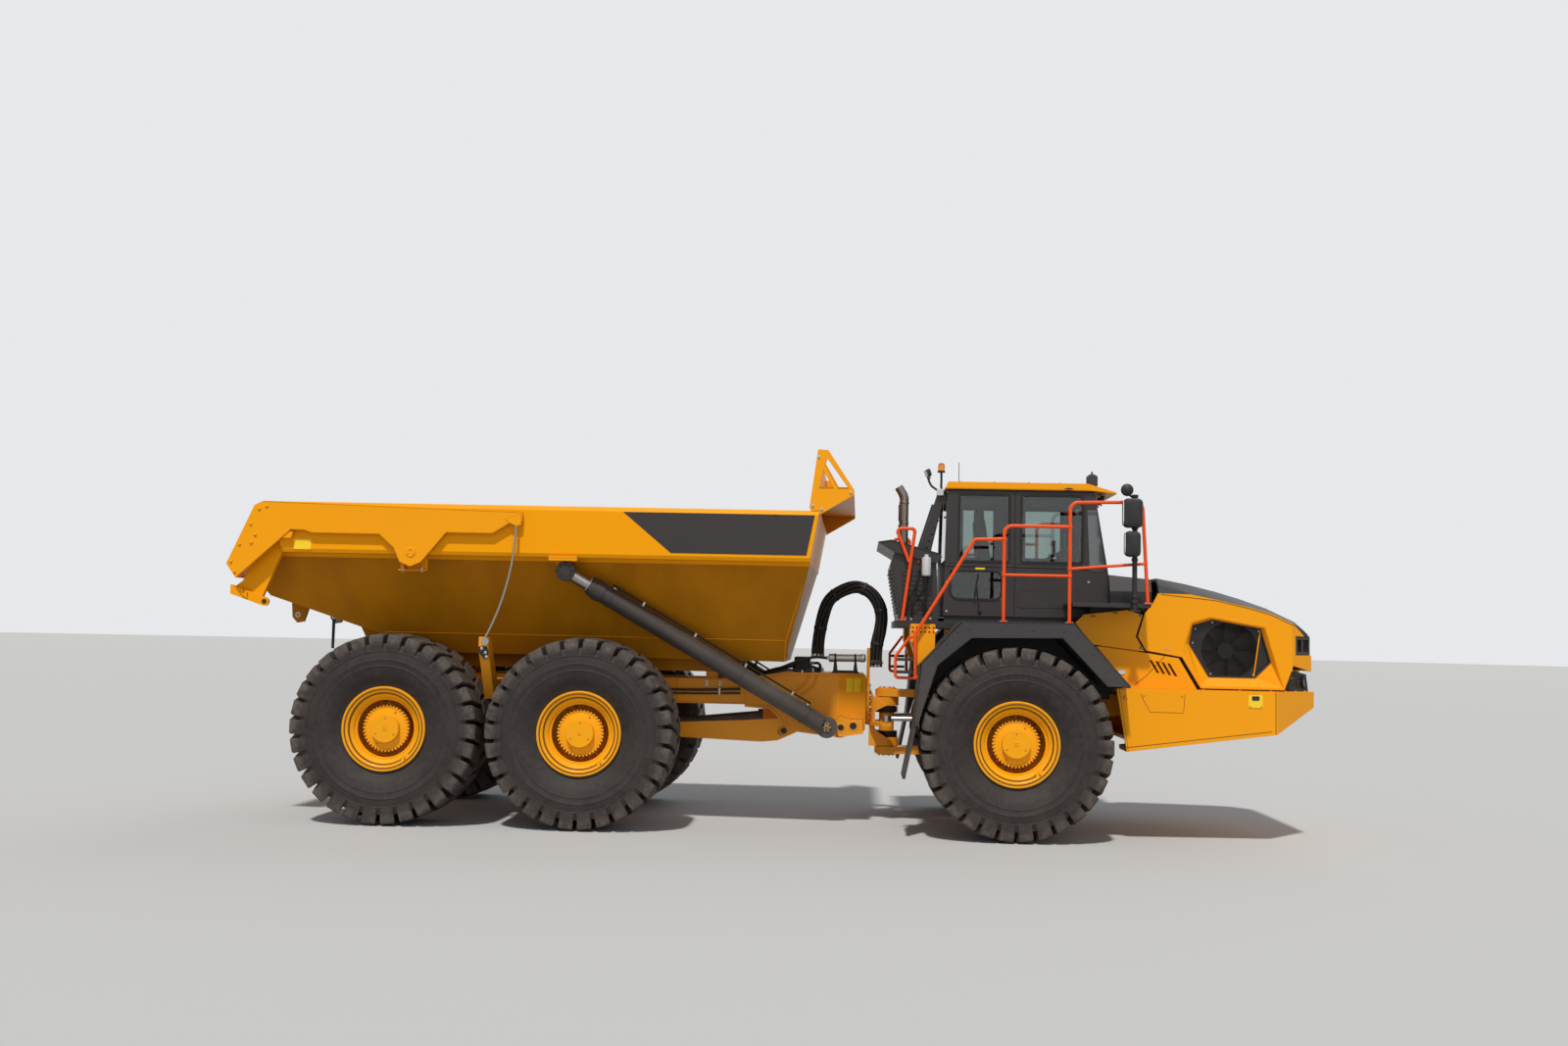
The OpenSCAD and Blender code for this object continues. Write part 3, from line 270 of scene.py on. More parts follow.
speckled = maths(settled_dust, "MULTIPLY", maths(settled_dust, "MULTIPLY", lying, clouds), specks, clamp=True)
connect(settled_dust, made, Colour=laid_over(settled_dust, speckled, given["Colour"], given["Dust Colour"]),
        Roughness=spread(settled_dust, speckled, to_min=given["Roughness"], to_max=0.9), Mask=speckled)
print("group", settled_dust.name)

# %% [markdown]
# The third effect finds edges. A Bevel node bends the normal near an edge, and where the bent
# normal leaves the true one the paint is thin. Noise breaks the line into chips. The same bent
# normal also rounds every sharp CAD edge in the light, as a real plate's edge is rounded.

# %% Effect: worn edges
worn_edges, given, made = new_group("worn edges", [
    ("Colour", COLOUR, (0.5, 0.5, 0.5, 1)), ("Bare Colour", COLOUR, (0.3, 0.28, 0.26, 1)), ("Wear", FLOAT, 0.4),
    ("Edge Width", FLOAT, 0.006)], [("Colour", COLOUR), ("Mask", FLOAT), ("Normal", VECTOR)])
true_facing = add_node(worn_edges, "NewGeometry").outputs["Normal"]
bent = add_node(worn_edges, "Bevel", {"samples": 4}, Radius=given["Edge Width"]).outputs["Normal"]
same = add_node(worn_edges, "VectorMath", {"operation": "DOT_PRODUCT"})
feed(worn_edges, same.inputs[0], bent)
feed(worn_edges, same.inputs[1], true_facing)
edge = spread(worn_edges, same.outputs["Value"], 0.995, 0.86)
chips = spread(worn_edges, noise(worn_edges, coordinates(worn_edges)["Object"], 11.0, 7.0, 0.75), 0.52, 0.66)
amount = maths(worn_edges, "MULTIPLY", maths(worn_edges, "MULTIPLY", edge, chips), given["Wear"], clamp=True)
connect(worn_edges, made, Colour=laid_over(worn_edges, amount, given["Colour"], given["Bare Colour"]), Mask=amount,
        Normal=bent)
print("group", worn_edges.name)

# %% [markdown]
# The fourth effect is a moulded or cast grain: small pits and bumps of one size, used for
# rubber, plastic and rough castings. It only makes a height, which a Bump node turns into light
# and shade.

# %% Effect: moulded grain
moulded_grain, given, made = new_group("moulded grain", [("Grain Size", FLOAT, 400.0), ("Coarse Share", FLOAT, 0.3)],
                                       [("Height", FLOAT), ("Mottle", FLOAT)])
place = coordinates(moulded_grain)["Object"]
fine = add_node(moulded_grain, "TexVoronoi", Vector=place, Scale=given["Grain Size"])
coarse = noise(moulded_grain, place, 14.0, 6.0, 0.7)
mixed = add_node(moulded_grain, "Mix", Factor=given["Coarse Share"], A=fine.outputs["Distance"], B=coarse)
connect(moulded_grain, made, Height=mixed.outputs["Result"], Mottle=coarse)
print("group", moulded_grain.name)

# %% [markdown]
# Every painted or moulded finish is built the same way: film, then worn edges, then dust, into
# one Principled shader. What changes from finish to finish is given here in plain numbers. Gloss,
# metal and coat are set on the shader itself, because they are the same all over a surface.

# %% Helper: a coated finish
QUARRY_DUST = (0.40, 0.30, 0.215, 1)


def effect(tree, group, **sockets):
    return add_node(tree, "Group", {"node_tree": group}, **sockets).outputs


def bump(tree, strength, distance, height, **sockets):
    return add_node(tree, "Bump", Strength=strength, Distance=distance, Height=height, **sockets).outputs["Normal"]


def principled(tree, **sockets):
    shader = add_node(tree, "BsdfPrincipled", **sockets)
    add_node(tree, "OutputMaterial", Surface=shader.outputs["BSDF"])


def coated(name, colour, roughness, variation=0.12, patch=0.8, wear=0.35, bare=(0.16, 0.13, 0.11),
           edge=0.006, on_top=0.35, thrown=0.35, fades=2.2, coat=0.0, metal=0.0, grain=None, grain_depth=0.15,
           specular=0.3):
    finish, tree = node_material(name)
    film = effect(tree, paint_film, Colour=(*colour, 1), Variation=variation, Gloss_Roughness=roughness,
                  Patch_Size=patch)
    edges = effect(tree, worn_edges, Colour=film["Colour"], Bare_Colour=(*bare, 1), Wear=wear, Edge_Width=edge)
    dirt = effect(tree, settled_dust, Colour=edges["Colour"], Roughness=film["Roughness"], Dust_Colour=QUARRY_DUST,
                  On_Top=on_top, Thrown_Up=thrown, Fades_Out_At=fades)
    if grain is None:
        relief = bump(tree, 0.02, 0.002, film["Height"], Normal=edges["Normal"])
    else:
        pits = effect(tree, moulded_grain, Grain_Size=grain)
        relief = bump(tree, grain_depth, 0.004, pits["Height"], Normal=edges["Normal"])
    principled(tree, Base_Color=dirt["Colour"], Roughness=dirt["Roughness"], Normal=relief, Metallic=metal,
               Coat_Weight=coat, Coat_Roughness=0.12, Specular_IOR_Level=specular)
    return finish


print("coated finish ready")

# %% [markdown]
# The truck's yellow is a thick gloss enamel. The cab, the hood's crown and the guards are dark
# and duller, each a little different in the photograph: warm brown-black on the cab, satin black
# on the hood and a grainy grey plastic on the guards. The rails are a red-orange that warns.

# %% Painted and moulded finishes
YELLOW = (0.86, 0.335, 0.004)
yellow_enamel = coated("yellow_enamel", YELLOW, 0.36, 0.08, wear=0.18, bare=(0.30, 0.15, 0.05), on_top=0.12,
                       thrown=0.12, fades=1.9, coat=0.05, specular=0.10)
wheel_yellow = coated("wheel_yellow", (0.88, 0.37, 0.004), 0.34, 0.08, wear=0.25, bare=(0.25, 0.12, 0.04),
                      on_top=0.15, thrown=0.15, fades=1.6, coat=0.06, specular=0.1)
frame_yellow = coated("frame_yellow", (0.78, 0.29, 0.006), 0.42, 0.16, wear=0.35, bare=(0.20, 0.12, 0.07),
                      on_top=0.25, thrown=0.16, fades=2.4, coat=0.05, specular=0.2)
cab_brown_black = coated("cab_brown_black", (0.030, 0.0245, 0.0245), 0.42, 0.25, wear=0.12, bare=(0.12, 0.11, 0.10),
                         on_top=0.12, thrown=0.10, fades=3.2, coat=0.04)
hood_satin_black = coated("hood_satin_black", (0.026, 0.024, 0.025), 0.55, 0.2, wear=0.1, bare=(0.1, 0.1, 0.1),
                          on_top=0.05, thrown=0.0, coat=0.05)
guard_grey = coated("guard_grey", (0.040, 0.038, 0.040), 0.62, 0.3, patch=1.6, wear=0.25, bare=(0.11, 0.10, 0.095),
                    on_top=0.55, thrown=0.30, fades=2.6, grain=320, grain_depth=0.25)
casting_charcoal = coated("casting_charcoal", (0.052, 0.046, 0.043), 0.55, 0.3, wear=0.35, bare=(0.14, 0.12, 0.1),
                          on_top=0.6, thrown=0.7, fades=2.4, grain=180, grain_depth=0.3)
barrel_charcoal = coated("barrel_charcoal", (0.062, 0.054, 0.050), 0.36, 0.25, wear=0.2, bare=(0.2, 0.18, 0.16),
                         on_top=0.45, thrown=0.35, fades=2.6, metal=0.2)
rail_orange = coated("rail_orange", (0.80, 0.085, 0.010), 0.36, 0.1, wear=0.3, bare=(0.28, 0.06, 0.03),
                     on_top=0.08, thrown=0.15, fades=2.2, coat=0.08, edge=0.003, specular=0.2)
black_plastic = coated("black_plastic", (0.020, 0.019, 0.020), 0.48, 0.2, wear=0.15, bare=(0.09, 0.09, 0.09),
                       on_top=0.3, thrown=0.2, fades=2.4, grain=500, grain_depth=0.2)
seat_cloth = coated("seat_cloth", (0.045, 0.045, 0.05), 0.85, 0.3, wear=0.0, on_top=0.1, thrown=0, grain=700,
                    grain_depth=0.4)
seal_rubber = coated("seal_rubber", (0.012, 0.012, 0.012), 0.55, 0.2, wear=0.0, on_top=0.1, thrown=0.03, fades=3,
                     grain=900, grain_depth=0.1)
hose_rubber = coated("hose_rubber", (0.014, 0.013, 0.013), 0.42, 0.3, wear=0.0, on_top=0.5, thrown=0.3, fades=2.4,
                     grain=260, grain_depth=0.3)
label_yellow = coated("label_yellow", (0.90, 0.60, 0.02), 0.4, 0.06, wear=0.0, on_top=0.1, thrown=0.1)
pale_plastic = coated("pale_plastic", (0.55, 0.56, 0.56), 0.4, 0.1, wear=0.1, on_top=0.3, thrown=0.0)
# A dark brown laid into the rim's grooves as painted shade.
groove_shade = coated("groove_shade", (0.17, 0.065, 0.012), 0.8, 0.3, patch=3.0, wear=0.0, on_top=0.1, thrown=0.1)
pillar_black_glass = coated("pillar_black_glass", (0.060, 0.070, 0.075), 0.10, 0.05, wear=0.0, on_top=0.05,
                            thrown=0.05, coat=0.6, specular=0.5)
print("finishes", len(bpy.data.materials))

# %% [markdown]
# Bare metals have no film. The exhaust is stainless steel browned by heat and streaked along its
# length, the piston rods are hard chrome, and fittings and bolts are zinc that has gone dull.

# %% Bare metals
def bare_metal(name, colour, tint, roughness, streak=(30, 30, 4), depth=0.05, thrown=0.2):
    finish, tree = node_material(name)
    stretched = add_node(tree, "Mapping", Vector=coordinates(tree)["Object"], Scale=streak)
    brushed = noise(tree, stretched.outputs["Vector"], detail=6)
    dirt = effect(tree, settled_dust, Colour=laid_over(tree, brushed, (*colour, 1), (*tint, 1)),
                  Roughness=spread(tree, brushed, to_min=roughness - 0.08, to_max=roughness + 0.16),
                  On_Top=0.25, Thrown_Up=thrown)
    principled(tree, Base_Color=dirt["Colour"], Roughness=dirt["Roughness"], Metallic=1.0,
               Normal=bump(tree, depth, 0.002, brushed))
    return finish


exhaust_steel = bare_metal("exhaust_steel", (0.26, 0.235, 0.22), (0.15, 0.115, 0.09), 0.44)
rod_chrome = bare_metal("rod_chrome", (0.42, 0.42, 0.43), (0.30, 0.29, 0.28), 0.3, depth=0.01)
zinc = bare_metal("zinc", (0.50, 0.48, 0.45), (0.30, 0.27, 0.24), 0.42)
rope_steel = bare_metal("rope_steel", (0.42, 0.38, 0.33), (0.24, 0.20, 0.16), 0.5, streak=(160, 160, 260), depth=0.5)
print("metals", exhaust_steel.name, rod_chrome.name, zinc.name, rope_steel.name)

# %% [markdown]
# Glass keeps a plain transmission and a faint green tint, and the dark cab behind it does the
# rest. Lamp lenses are clear, the beacon is amber and the tail lamps are red, all three cut with
# fine ribs so that they sparkle like moulded lenses.

# %% Glass and lenses
def clear_finish(name, colour, roughness=0.0, ribs=None):
    finish, tree = node_material(name)
    place = coordinates(tree)["Object"]
    sockets = {"Roughness": spread(tree, noise(tree, place, 3.0, 5.0), 0.45, 0.8, roughness, roughness + 0.02)}
    if ribs:
        wave = add_node(tree, "TexWave", Vector=place, Scale=ribs)
        sockets["Normal"] = bump(tree, 0.5, 0.003, wave.outputs["Fac"])
    principled(tree, Base_Color=(*colour, 1), Transmission_Weight=1.0, IOR=1.45, **sockets)
    return finish


tinted_glass = clear_finish("tinted_glass", (0.44, 0.52, 0.50))
lamp_lens = clear_finish("lamp_lens", (0.95, 0.96, 0.97), ribs=60)
amber_lens = clear_finish("amber_lens", (0.95, 0.32, 0.02), 0.1, ribs=50)
red_lens = clear_finish("red_lens", (0.75, 0.02, 0.015), 0.1, ribs=50)
mirror_glass = bare_metal("mirror_glass", (0.85, 0.86, 0.87), (0.82, 0.83, 0.84), 0.09, depth=0.0, thrown=0.0)
print("lenses", tinted_glass.name, lamp_lens.name, amber_lens.name, red_lens.name)

# %% [markdown]
# A quarry tyre is dark brown-grey, not black. Its sidewall is fairly smooth and its tread is
# torn and dusty, so the mesh carries a value from 0 on the sidewall to 1 on the crown of a tread
# block, and the finish mixes the two states by that value.

# %% Tyre rubber
def ramp(tree, mask, low, low_colour, high, high_colour):
    node = add_node(tree, "ValToRGB")
    feed(tree, node.inputs[0], mask)
    for stop, position, colour in zip(node.color_ramp.elements, (low, high), (low_colour, high_colour)):
        stop.position = position
        stop.color = (*colour, 1)
    return node.outputs[0]


tyre_rubber, tree = node_material("tyre_rubber")
tread_value = add_node(tree, "Attribute", {"attribute_name": "tread"}).outputs["Fac"]
pits = effect(tree, moulded_grain, Grain_Size=90, Coarse_Share=0.75)
smooth_tone = ramp(tree, pits["Mottle"], 0.3, (0.017, 0.0145, 0.0140), 0.7, (0.036, 0.030, 0.029))
torn_tone = ramp(tree, pits["Mottle"], 0.32, (0.028, 0.024, 0.023), 0.72, (0.13, 0.105, 0.088))
dirt = effect(tree, settled_dust, Colour=laid_over(tree, tread_value, smooth_tone, torn_tone), Roughness=0.62,
              Dust_Colour=(0.12, 0.095, 0.080, 1), On_Top=0.25, Thrown_Up=0.35, Fades_Out_At=3.5)
principled(tree, Base_Color=dirt["Colour"], Roughness=dirt["Roughness"], Specular_IOR_Level=0.25,
           Normal=bump(tree, 0.5, 0.006, pits["Height"]))
print("tyre finish ready")

# %% [markdown]
# Rock scours the load space down to brown steel while the outside stays yellow. Both belong to
# one solid, so the body's finish starts as the yellow enamel and mixes in scraped steel where a
# face lies between the top rails and looks inwards or up. Outside, under the top rails, the hopper
# lies in the rails' shade, so the same masks turned round mix in a dark brown as painted shade.

# %% Dump body: enamel outside, scraped steel inside
RAIL_INSIDE, RAIL_UNDERSIDE, BODY_RIM = 1.478, 3.028, 3.60
body_enamel = coated("body_enamel", YELLOW, 0.37, 0.08, wear=0.2, bare=(0.30, 0.15, 0.05), on_top=0.12,
                     thrown=0.22, fades=2.4, coat=0.02, specular=0.04)
tree = body_enamel.node_tree
placed = {n.node_tree.name: n for n in tree.nodes if n.type == "GROUP"}
place = coordinates(tree)
at = add_node(tree, "SeparateXYZ", Vector=place["Object"]).outputs
facing = add_node(tree, "SeparateXYZ", Vector=place["Normal"]).outputs
outward = maths(tree, "MULTIPLY", facing["Y"], maths(tree, "SIGN", at["Y"]))
faces_in = maths(tree, "GREATER_THAN", maths(tree, "SUBTRACT", facing["Z"], outward), 0.05)
between = maths(tree, "LESS_THAN", maths(tree, "ABSOLUTE", at["Y"]), RAIL_INSIDE)
inside = maths(tree, "MULTIPLY", maths(tree, "MULTIPLY", faces_in, between),
               maths(tree, "LESS_THAN", at["Z"], BODY_RIM))
outside = maths(tree, "MULTIPLY", maths(tree, "SUBTRACT", 1.0, faces_in), between)
under_rail = maths(tree, "MULTIPLY", outside, maths(tree, "LESS_THAN", at["Z"], RAIL_UNDERSIDE))
# Painted shade: a dark brown in vertical streaks on the hopper's outside, under the top rails.
streak_place = add_node(tree, "Mapping", Vector=place["Object"], Scale=(2.2, 2.2, 0.35)).outputs[0]
shade_amount = spread(tree, noise(tree, streak_place, 1.3, 7.0), 0.35, 0.65, 0.52, 0.62)
under_rail_shade = laid_over(tree, maths(tree, "MULTIPLY", under_rail, shade_amount), placed["paint film"].outputs["Colour"],
                  (0.11, 0.040, 0.006, 1))
drag = add_node(tree, "Mapping", Vector=place["Object"], Scale=(0.5, 9, 9)).outputs[0]
scrapes = ramp(tree, noise(tree, drag, 2.5, 9.0, 0.7), 0.35, (0.10, 0.075, 0.058), 0.68, (0.34, 0.29, 0.245))
connect(tree, placed["worn edges"], Colour=laid_over(tree, inside, under_rail_shade, scrapes))
body_shader = next(n for n in tree.nodes if n.type == "BSDF_PRINCIPLED")
connect(tree, body_shader, Metallic=maths(tree, "MULTIPLY", inside, 0.55))
print("body finish ready")

# %% [markdown]
# Each CAD solid that keeps its shape gets one of the finishes. The list is ordered by finish and
# names the solids that carry it.

# %% Finishes on the CAD solids
wheel_names = [f"{axle}_{side}" for axle in ("front", "mid", "rear") for side in ("left", "right")]
finish_of = {}
for finish, solids in (
        (yellow_enamel, "bumper side_panels cab_roof hood spill_guard tailgate"),
        (body_enamel, "dump_body"),
        (wheel_yellow, " ".join("rim_" + w for w in wheel_names)),
        (frame_yellow, "rear_frame hoist_feet bogie_beams hitch_link rear_axles front_frame"),
        (cab_brown_black, "cab_shell cab_door rear_module"),
        (hood_satin_black, "hood_top deck"),
        (guard_grey, "mudguards"),
        (casting_charcoal, "steer_clevises front_axle engine cooling_pack drive_shafts steer_barrel_left "
                           "steer_barrel_right"),
        (barrel_charcoal, "hoist_barrel_left hoist_barrel_right"),
        (rail_orange, "handrails"),
        (exhaust_steel, "exhaust"),
        (rope_steel, "tailgate_ropes"),
        (rod_chrome, "steer_rod_left steer_rod_right hoist_rod_left hoist_rod_right"),
        (black_plastic, "cab_interior mirrors lamps hood_grilles fan_left fan_right"),
        (hose_rubber, "hose_arch"),
        (tinted_glass, "cab_glass door_glass"),
        (tyre_rubber, " ".join("tyre_" + w for w in wheel_names))):
    for solid in solids.split():
        finish_of[solid] = finish
for solid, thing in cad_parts.items():
    for material_slot in thing.material_slots:
        material_slot.material = finish_of[solid]
print("solids with a finish", len(finish_of))

# %% [markdown]
# Everything small is gathered in joined meshes. A gatherer takes shapes in the truck's own
# millimetres, remembers which finish each one wears, and makes one object at the end. Three kinds
# of place are used for flat outlines: `FLANK` draws an outline in side view and gives it a
# thickness across the truck, `PLAN` draws it from above, and `FACE` draws it from the front.

# %% Helper: gather shapes in one mesh
SIDE_VIEW = Matrix(((1, 0, 0, 0), (0, 0, 1, 0), (0, 1, 0, 0), (0, 0, 0, 1)))
FRONT_VIEW = Matrix(((0, 0, 1, 0), (1, 0, 0, 0), (0, 1, 0, 0), (0, 0, 0, 1)))
BASE = Matrix.Translation(spot(0, 0, 0)) @ Matrix.Scale(MM, 4)
FLANK = BASE @ SIDE_VIEW
FACE = BASE @ FRONT_VIEW
PLAN = BASE


def ring(radius, count, height, start=0.0):
    return [(radius * math.cos(start + 2 * math.pi * i / count), radius * math.sin(start + 2 * math.pi * i / count),
             height) for i in range(count)]


def inset(outline, step):
    """Outline moved inwards by a step, corner by corner."""
    area = sum(a[0] * b[1] - b[0] * a[1] for a, b in zip(outline, outline[1:] + outline[:1]))
    way = 1 if area > 0 else -1
    moved = []
    for before, here, after in zip(outline[-1:] + outline[:-1], outline, outline[1:] + outline[:1]):
        a = (Vector(here) - Vector(before)).normalized()
        b = (Vector(after) - Vector(here)).normalized()
        normal = Vector((-(a.y + b.y), a.x + b.x))
        normal = normal.normalized() if normal.length > 1e-6 else Vector((-a.y, a.x))
        stretch = 1 / max(0.35, normal.dot(Vector((-a.y, a.x))))
        moved.append(tuple(Vector(here) + normal * way * step * stretch))
    return moved


class Gather:
    """Collects shapes, each with a finish number, for one joined mesh."""

    def __init__(self):
        self.points, self.faces, self.skins, self.values = [], [], [], []

    def add(self, points, faces, skin=0, place=BASE, values=None):
        start = len(self.points)
        self.points += [tuple(place @ Vector(p)) for p in points]
        self.faces += [tuple(start + i for i in face) for face in faces]
        self.skins += [skin] * len(faces)
        self.values += values or [0.0] * len(points)

    def loft(self, rings, skin=0, place=BASE, around=False, values=None):
        """Skins rings of equal length and closes the ends; around joins the last one to the first."""
        count = len(rings[0])
        faces = []
        for i in range(len(rings) if around else len(rings) - 1):
            a, b = i * count, (i + 1) % len(rings) * count
            faces += [(a + j, a + (j + 1) % count, b + (j + 1) % count, b + j) for j in range(count)]
        if not around:
            faces += [tuple(range(count))[::-1], tuple(range((len(rings) - 1) * count, len(rings) * count))]
        self.add([p for one in rings for p in one], faces, skin, place, values)

    def plate(self, outline, low, high, skin=0, edge=1.5, place=FLANK):
        """A flat plate with its outline's edges broken."""
        outline = [tuple(p) for p in outline]
        edge = min(edge, abs(high - low) / 2.01)
        small = inset(outline, edge)
        self.loft([[(*p, w) for p in one] for one, w in
                   ((small, low), (outline, low + edge), (outline, high - edge), (small, high))], skin, place)

    def block(self, x, y, z, skin=0, edge=3.0):
        """A block between pairs of limits with all its edges broken."""
        (x0, x1), (y0, y1), (z0, z1) = (sorted(pair) for pair in (x, y, z))
        edge = min(edge, (x1 - x0) / 2.5, (y1 - y0) / 2.5, (z1 - z0) / 2.5)

        def loop(e, f):
            xs, ys = (x0 + e, x1 - e), (y0 + e, y1 - e)
            return [(xs[0] + f, ys[0]), (xs[1] - f, ys[0]), (xs[1], ys[0] + f), (xs[1], ys[1] - f),
                    (xs[1] - f, ys[1]), (xs[0] + f, ys[1]), (xs[0], ys[1] - f), (xs[0], ys[0] + f)]
        self.loft([[(*p, z0) for p in loop(edge, edge * 0.4)], [(*p, z0 + edge) for p in loop(0, edge)],
                   [(*p, z1 - edge) for p in loop(0, edge)], [(*p, z1) for p in loop(edge, edge * 0.4)]], skin)

    def turned(self, profile, at, towards, skin=0, count=24, place=BASE, start=0.0):
        """A turned part: profile is (radius, distance) along an axis from a point."""
        aim = Vector(towards).to_track_quat("Z", "Y").to_matrix().to_4x4()
        self.loft([ring(max(r, 0.05), count, h, start) for r, h in profile], skin,
                  place @ Matrix.Translation(Vector(at)) @ aim)

    def bolt(self, at, towards, across=24, skin=0, height=None, place=BASE):
        """A hexagon head with a chamfered crown on a round washer."""
        height = height or across * 0.62
        half = across / 1.732
        self.turned([(across * 0.78, 0), (across * 0.78, across * 0.11), (across * 0.70, across * 0.14)], at, towards,
                    skin, 12, place)
        self.turned([(half, across * 0.1), (half, height * 0.82), (half * 0.82, height)], at, towards, skin, 6, place,
                    random.random())

    def bolt_ring(self, centre, towards, radius, count, across, skin=0, height=None, shift=0.0):
        """Bolts at equal steps around an axis along X, Y or Z; shift is a share of one step."""
        x, y, z = centre
        for k in range(count):
            angle = 2 * math.pi * (k + shift) / count
            u, v = radius * math.cos(angle), radius * math.sin(angle)
            if towards[0]:
                at = (x, y + u, z + v)
            elif towards[1]:
                at = (x + u, y, z + v)
            else:
                at = (x + u, y + v, z)
            self.bolt(at, towards, across, skin, height)

    def tube(self, path, radius, skin=0, sides=10, place=BASE, closed=False):
        """A round section swept along a path without twisting."""
        path = [Vector(p) for p in path]
        directions = []
        for i in range(len(path)):
            before = path[i - 1] if i or closed else path[i]
            after = path[(i + 1) % len(path)] if i < len(path) - 1 or closed else path[i]
            directions.append((after - before).normalized())
        across = directions[0].orthogonal().normalized()
        rings = []
        for here, direction in zip(path, directions):
            across = (across - direction * across.dot(direction)).normalized()
            up = direction.cross(across)
            rings.append([tuple(here + radius * (math.cos(a) * across + math.sin(a) * up))
                          for a in (2 * math.pi * k / sides for k in range(sides))])
        self.loft(rings, skin, place, around=closed)

    def made(self, name, body, finishes, slot, replaced=(), angle=32):
        """Makes the object and rides it on its body; its slot is not used."""
        mesh = bpy.data.meshes.new(name)
        mesh.from_pydata(self.points, [], self.faces)
        for finish in finishes:
            mesh.materials.append(finish)
        mesh.polygons.foreach_set("material_index", self.skins)
        mesh.polygons.foreach_set("use_smooth", [True] * len(self.faces))
        if any(self.values):
            mesh.attributes.new("tread", "FLOAT", "POINT").data.foreach_set("value", self.values)
        shape = bmesh.new()
        shape.from_mesh(mesh)
        bmesh.ops.recalc_face_normals(shape, faces=shape.faces)
        shape.to_mesh(mesh)
        shape.free()
        mesh.set_sharp_from_angle(angle=math.radians(angle))
        piece = bpy.data.objects.new(name, mesh)
        bpy.context.scene.collection.objects.link(piece)
        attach(piece, body)
        if replaced:
            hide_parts(*replaced)
        triangles = sum(len(p.vertices) - 2 for p in mesh.polygons)
        total_triangles.append(triangles)
        print(name, triangles, "triangles")
        return piece


def flowing(points, steps=8):
    """A smooth curve through the points."""
    points = [Vector(p) for p in points]
    ends = [points[0] * 2 - points[1]] + points + [points[-1] * 2 - points[-2]]
    curve = []
    for a, b, c, d in zip(ends, ends[1:], ends[2:], ends[3:]):
        for k in range(steps):
            t = k / steps
            curve.append(0.5 * (2 * b + (c - a) * t + (2 * a - 5 * b + 4 * c - d) * t * t
                                + (3 * b - a - 3 * c + d) * t ** 3))
    return curve + [points[-1]]


def rounded(outline, radius, steps=5):
    """Outline with every corner rounded."""
    result = []
    for before, here, after in zip(outline[-1:] + outline[:-1], outline, outline[1:] + outline[:1]):
        here = Vector(here)
        a, b = Vector(before) - here, Vector(after) - here
        reach = min(radius, a.length * 0.45, b.length * 0.45)
        a, b = here + a.normalized() * reach, here + b.normalized() * reach
        result += [tuple(a * (1 - t) ** 2 + here * 2 * t * (1 - t) + b * t * t)
                   for t in (k / steps for k in range(steps + 1))]
    return result


def oblong(x0, x1, z0, z1):
    """Corners of a rectangle, one after the other."""
    return [(x0, z0), (x1, z0), (x1, z1), (x0, z1)]


total_triangles = []
print("gatherer ready")

# %% [markdown]
# The tyres are the truck's largest parts. Each one is a turned carcass with a bulged sidewall,
# two raised rings and a bead that meets the rim, and thirty tread blocks on each side. A block
# starts on the shoulder, rolls over the edge and sweeps to the middle, where the blocks of the
# other side reach in between. Every block is worn a little differently. In the tables a width is
# a share of half the tyre, a radius is in metres of a tyre 1.07 m in radius and a turn in degrees.

# %% Tyres
half_width = (front_tyre_high.y - front_tyre_low.y) / 2
tyre_radius = (front_tyre_high.z - front_tyre_low.z) / 2
side_profile = [(0.970, 0), (0.965, 0.4), (0.955, 0.80), (0.945, 0.92), (0.905, 0.955), (0.880, 0.966),
                (0.872, 0.978), (0.862, 0.980), (0.856, 0.970), (0.815, 0.985), (0.786, 0.990), (0.780, 0.998),
                (0.768, 0.998), (0.762, 0.991), (0.712, 0.985), (0.706, 0.992), (0.697, 0.990), (0.692, 0.980),
                (0.645, 0.955), (0.600, 0.915), (0.552, 0.85), (0.520, 0.80), (0.492, 0.775), (0.478, 0.762),
                (0.455, 0.760)]
block_stations = [(0.972, 0.866, 0.90, 0.884), (0.990, 0.925, 0.86, 0.90), (0.984, 0.990, 0.86, 0.93),
                  (0.962, 1.036, 0.86, 0.94), (0.925, 1.054, 0.85, 0.945), (0.80, 1.060, 0.78, 0.945),
                  (0.50, 1.067, 0.48, 0.955), (0.06, 1.069, 0.06, 0.960)]
block_turn = [0, 0, 0, 0.1, 0.35, 1.0, 2.9, 5.0]
BLOCKS = 30
CARCASS_STEPS = 112
DRAWN_RADIUS = 1.07


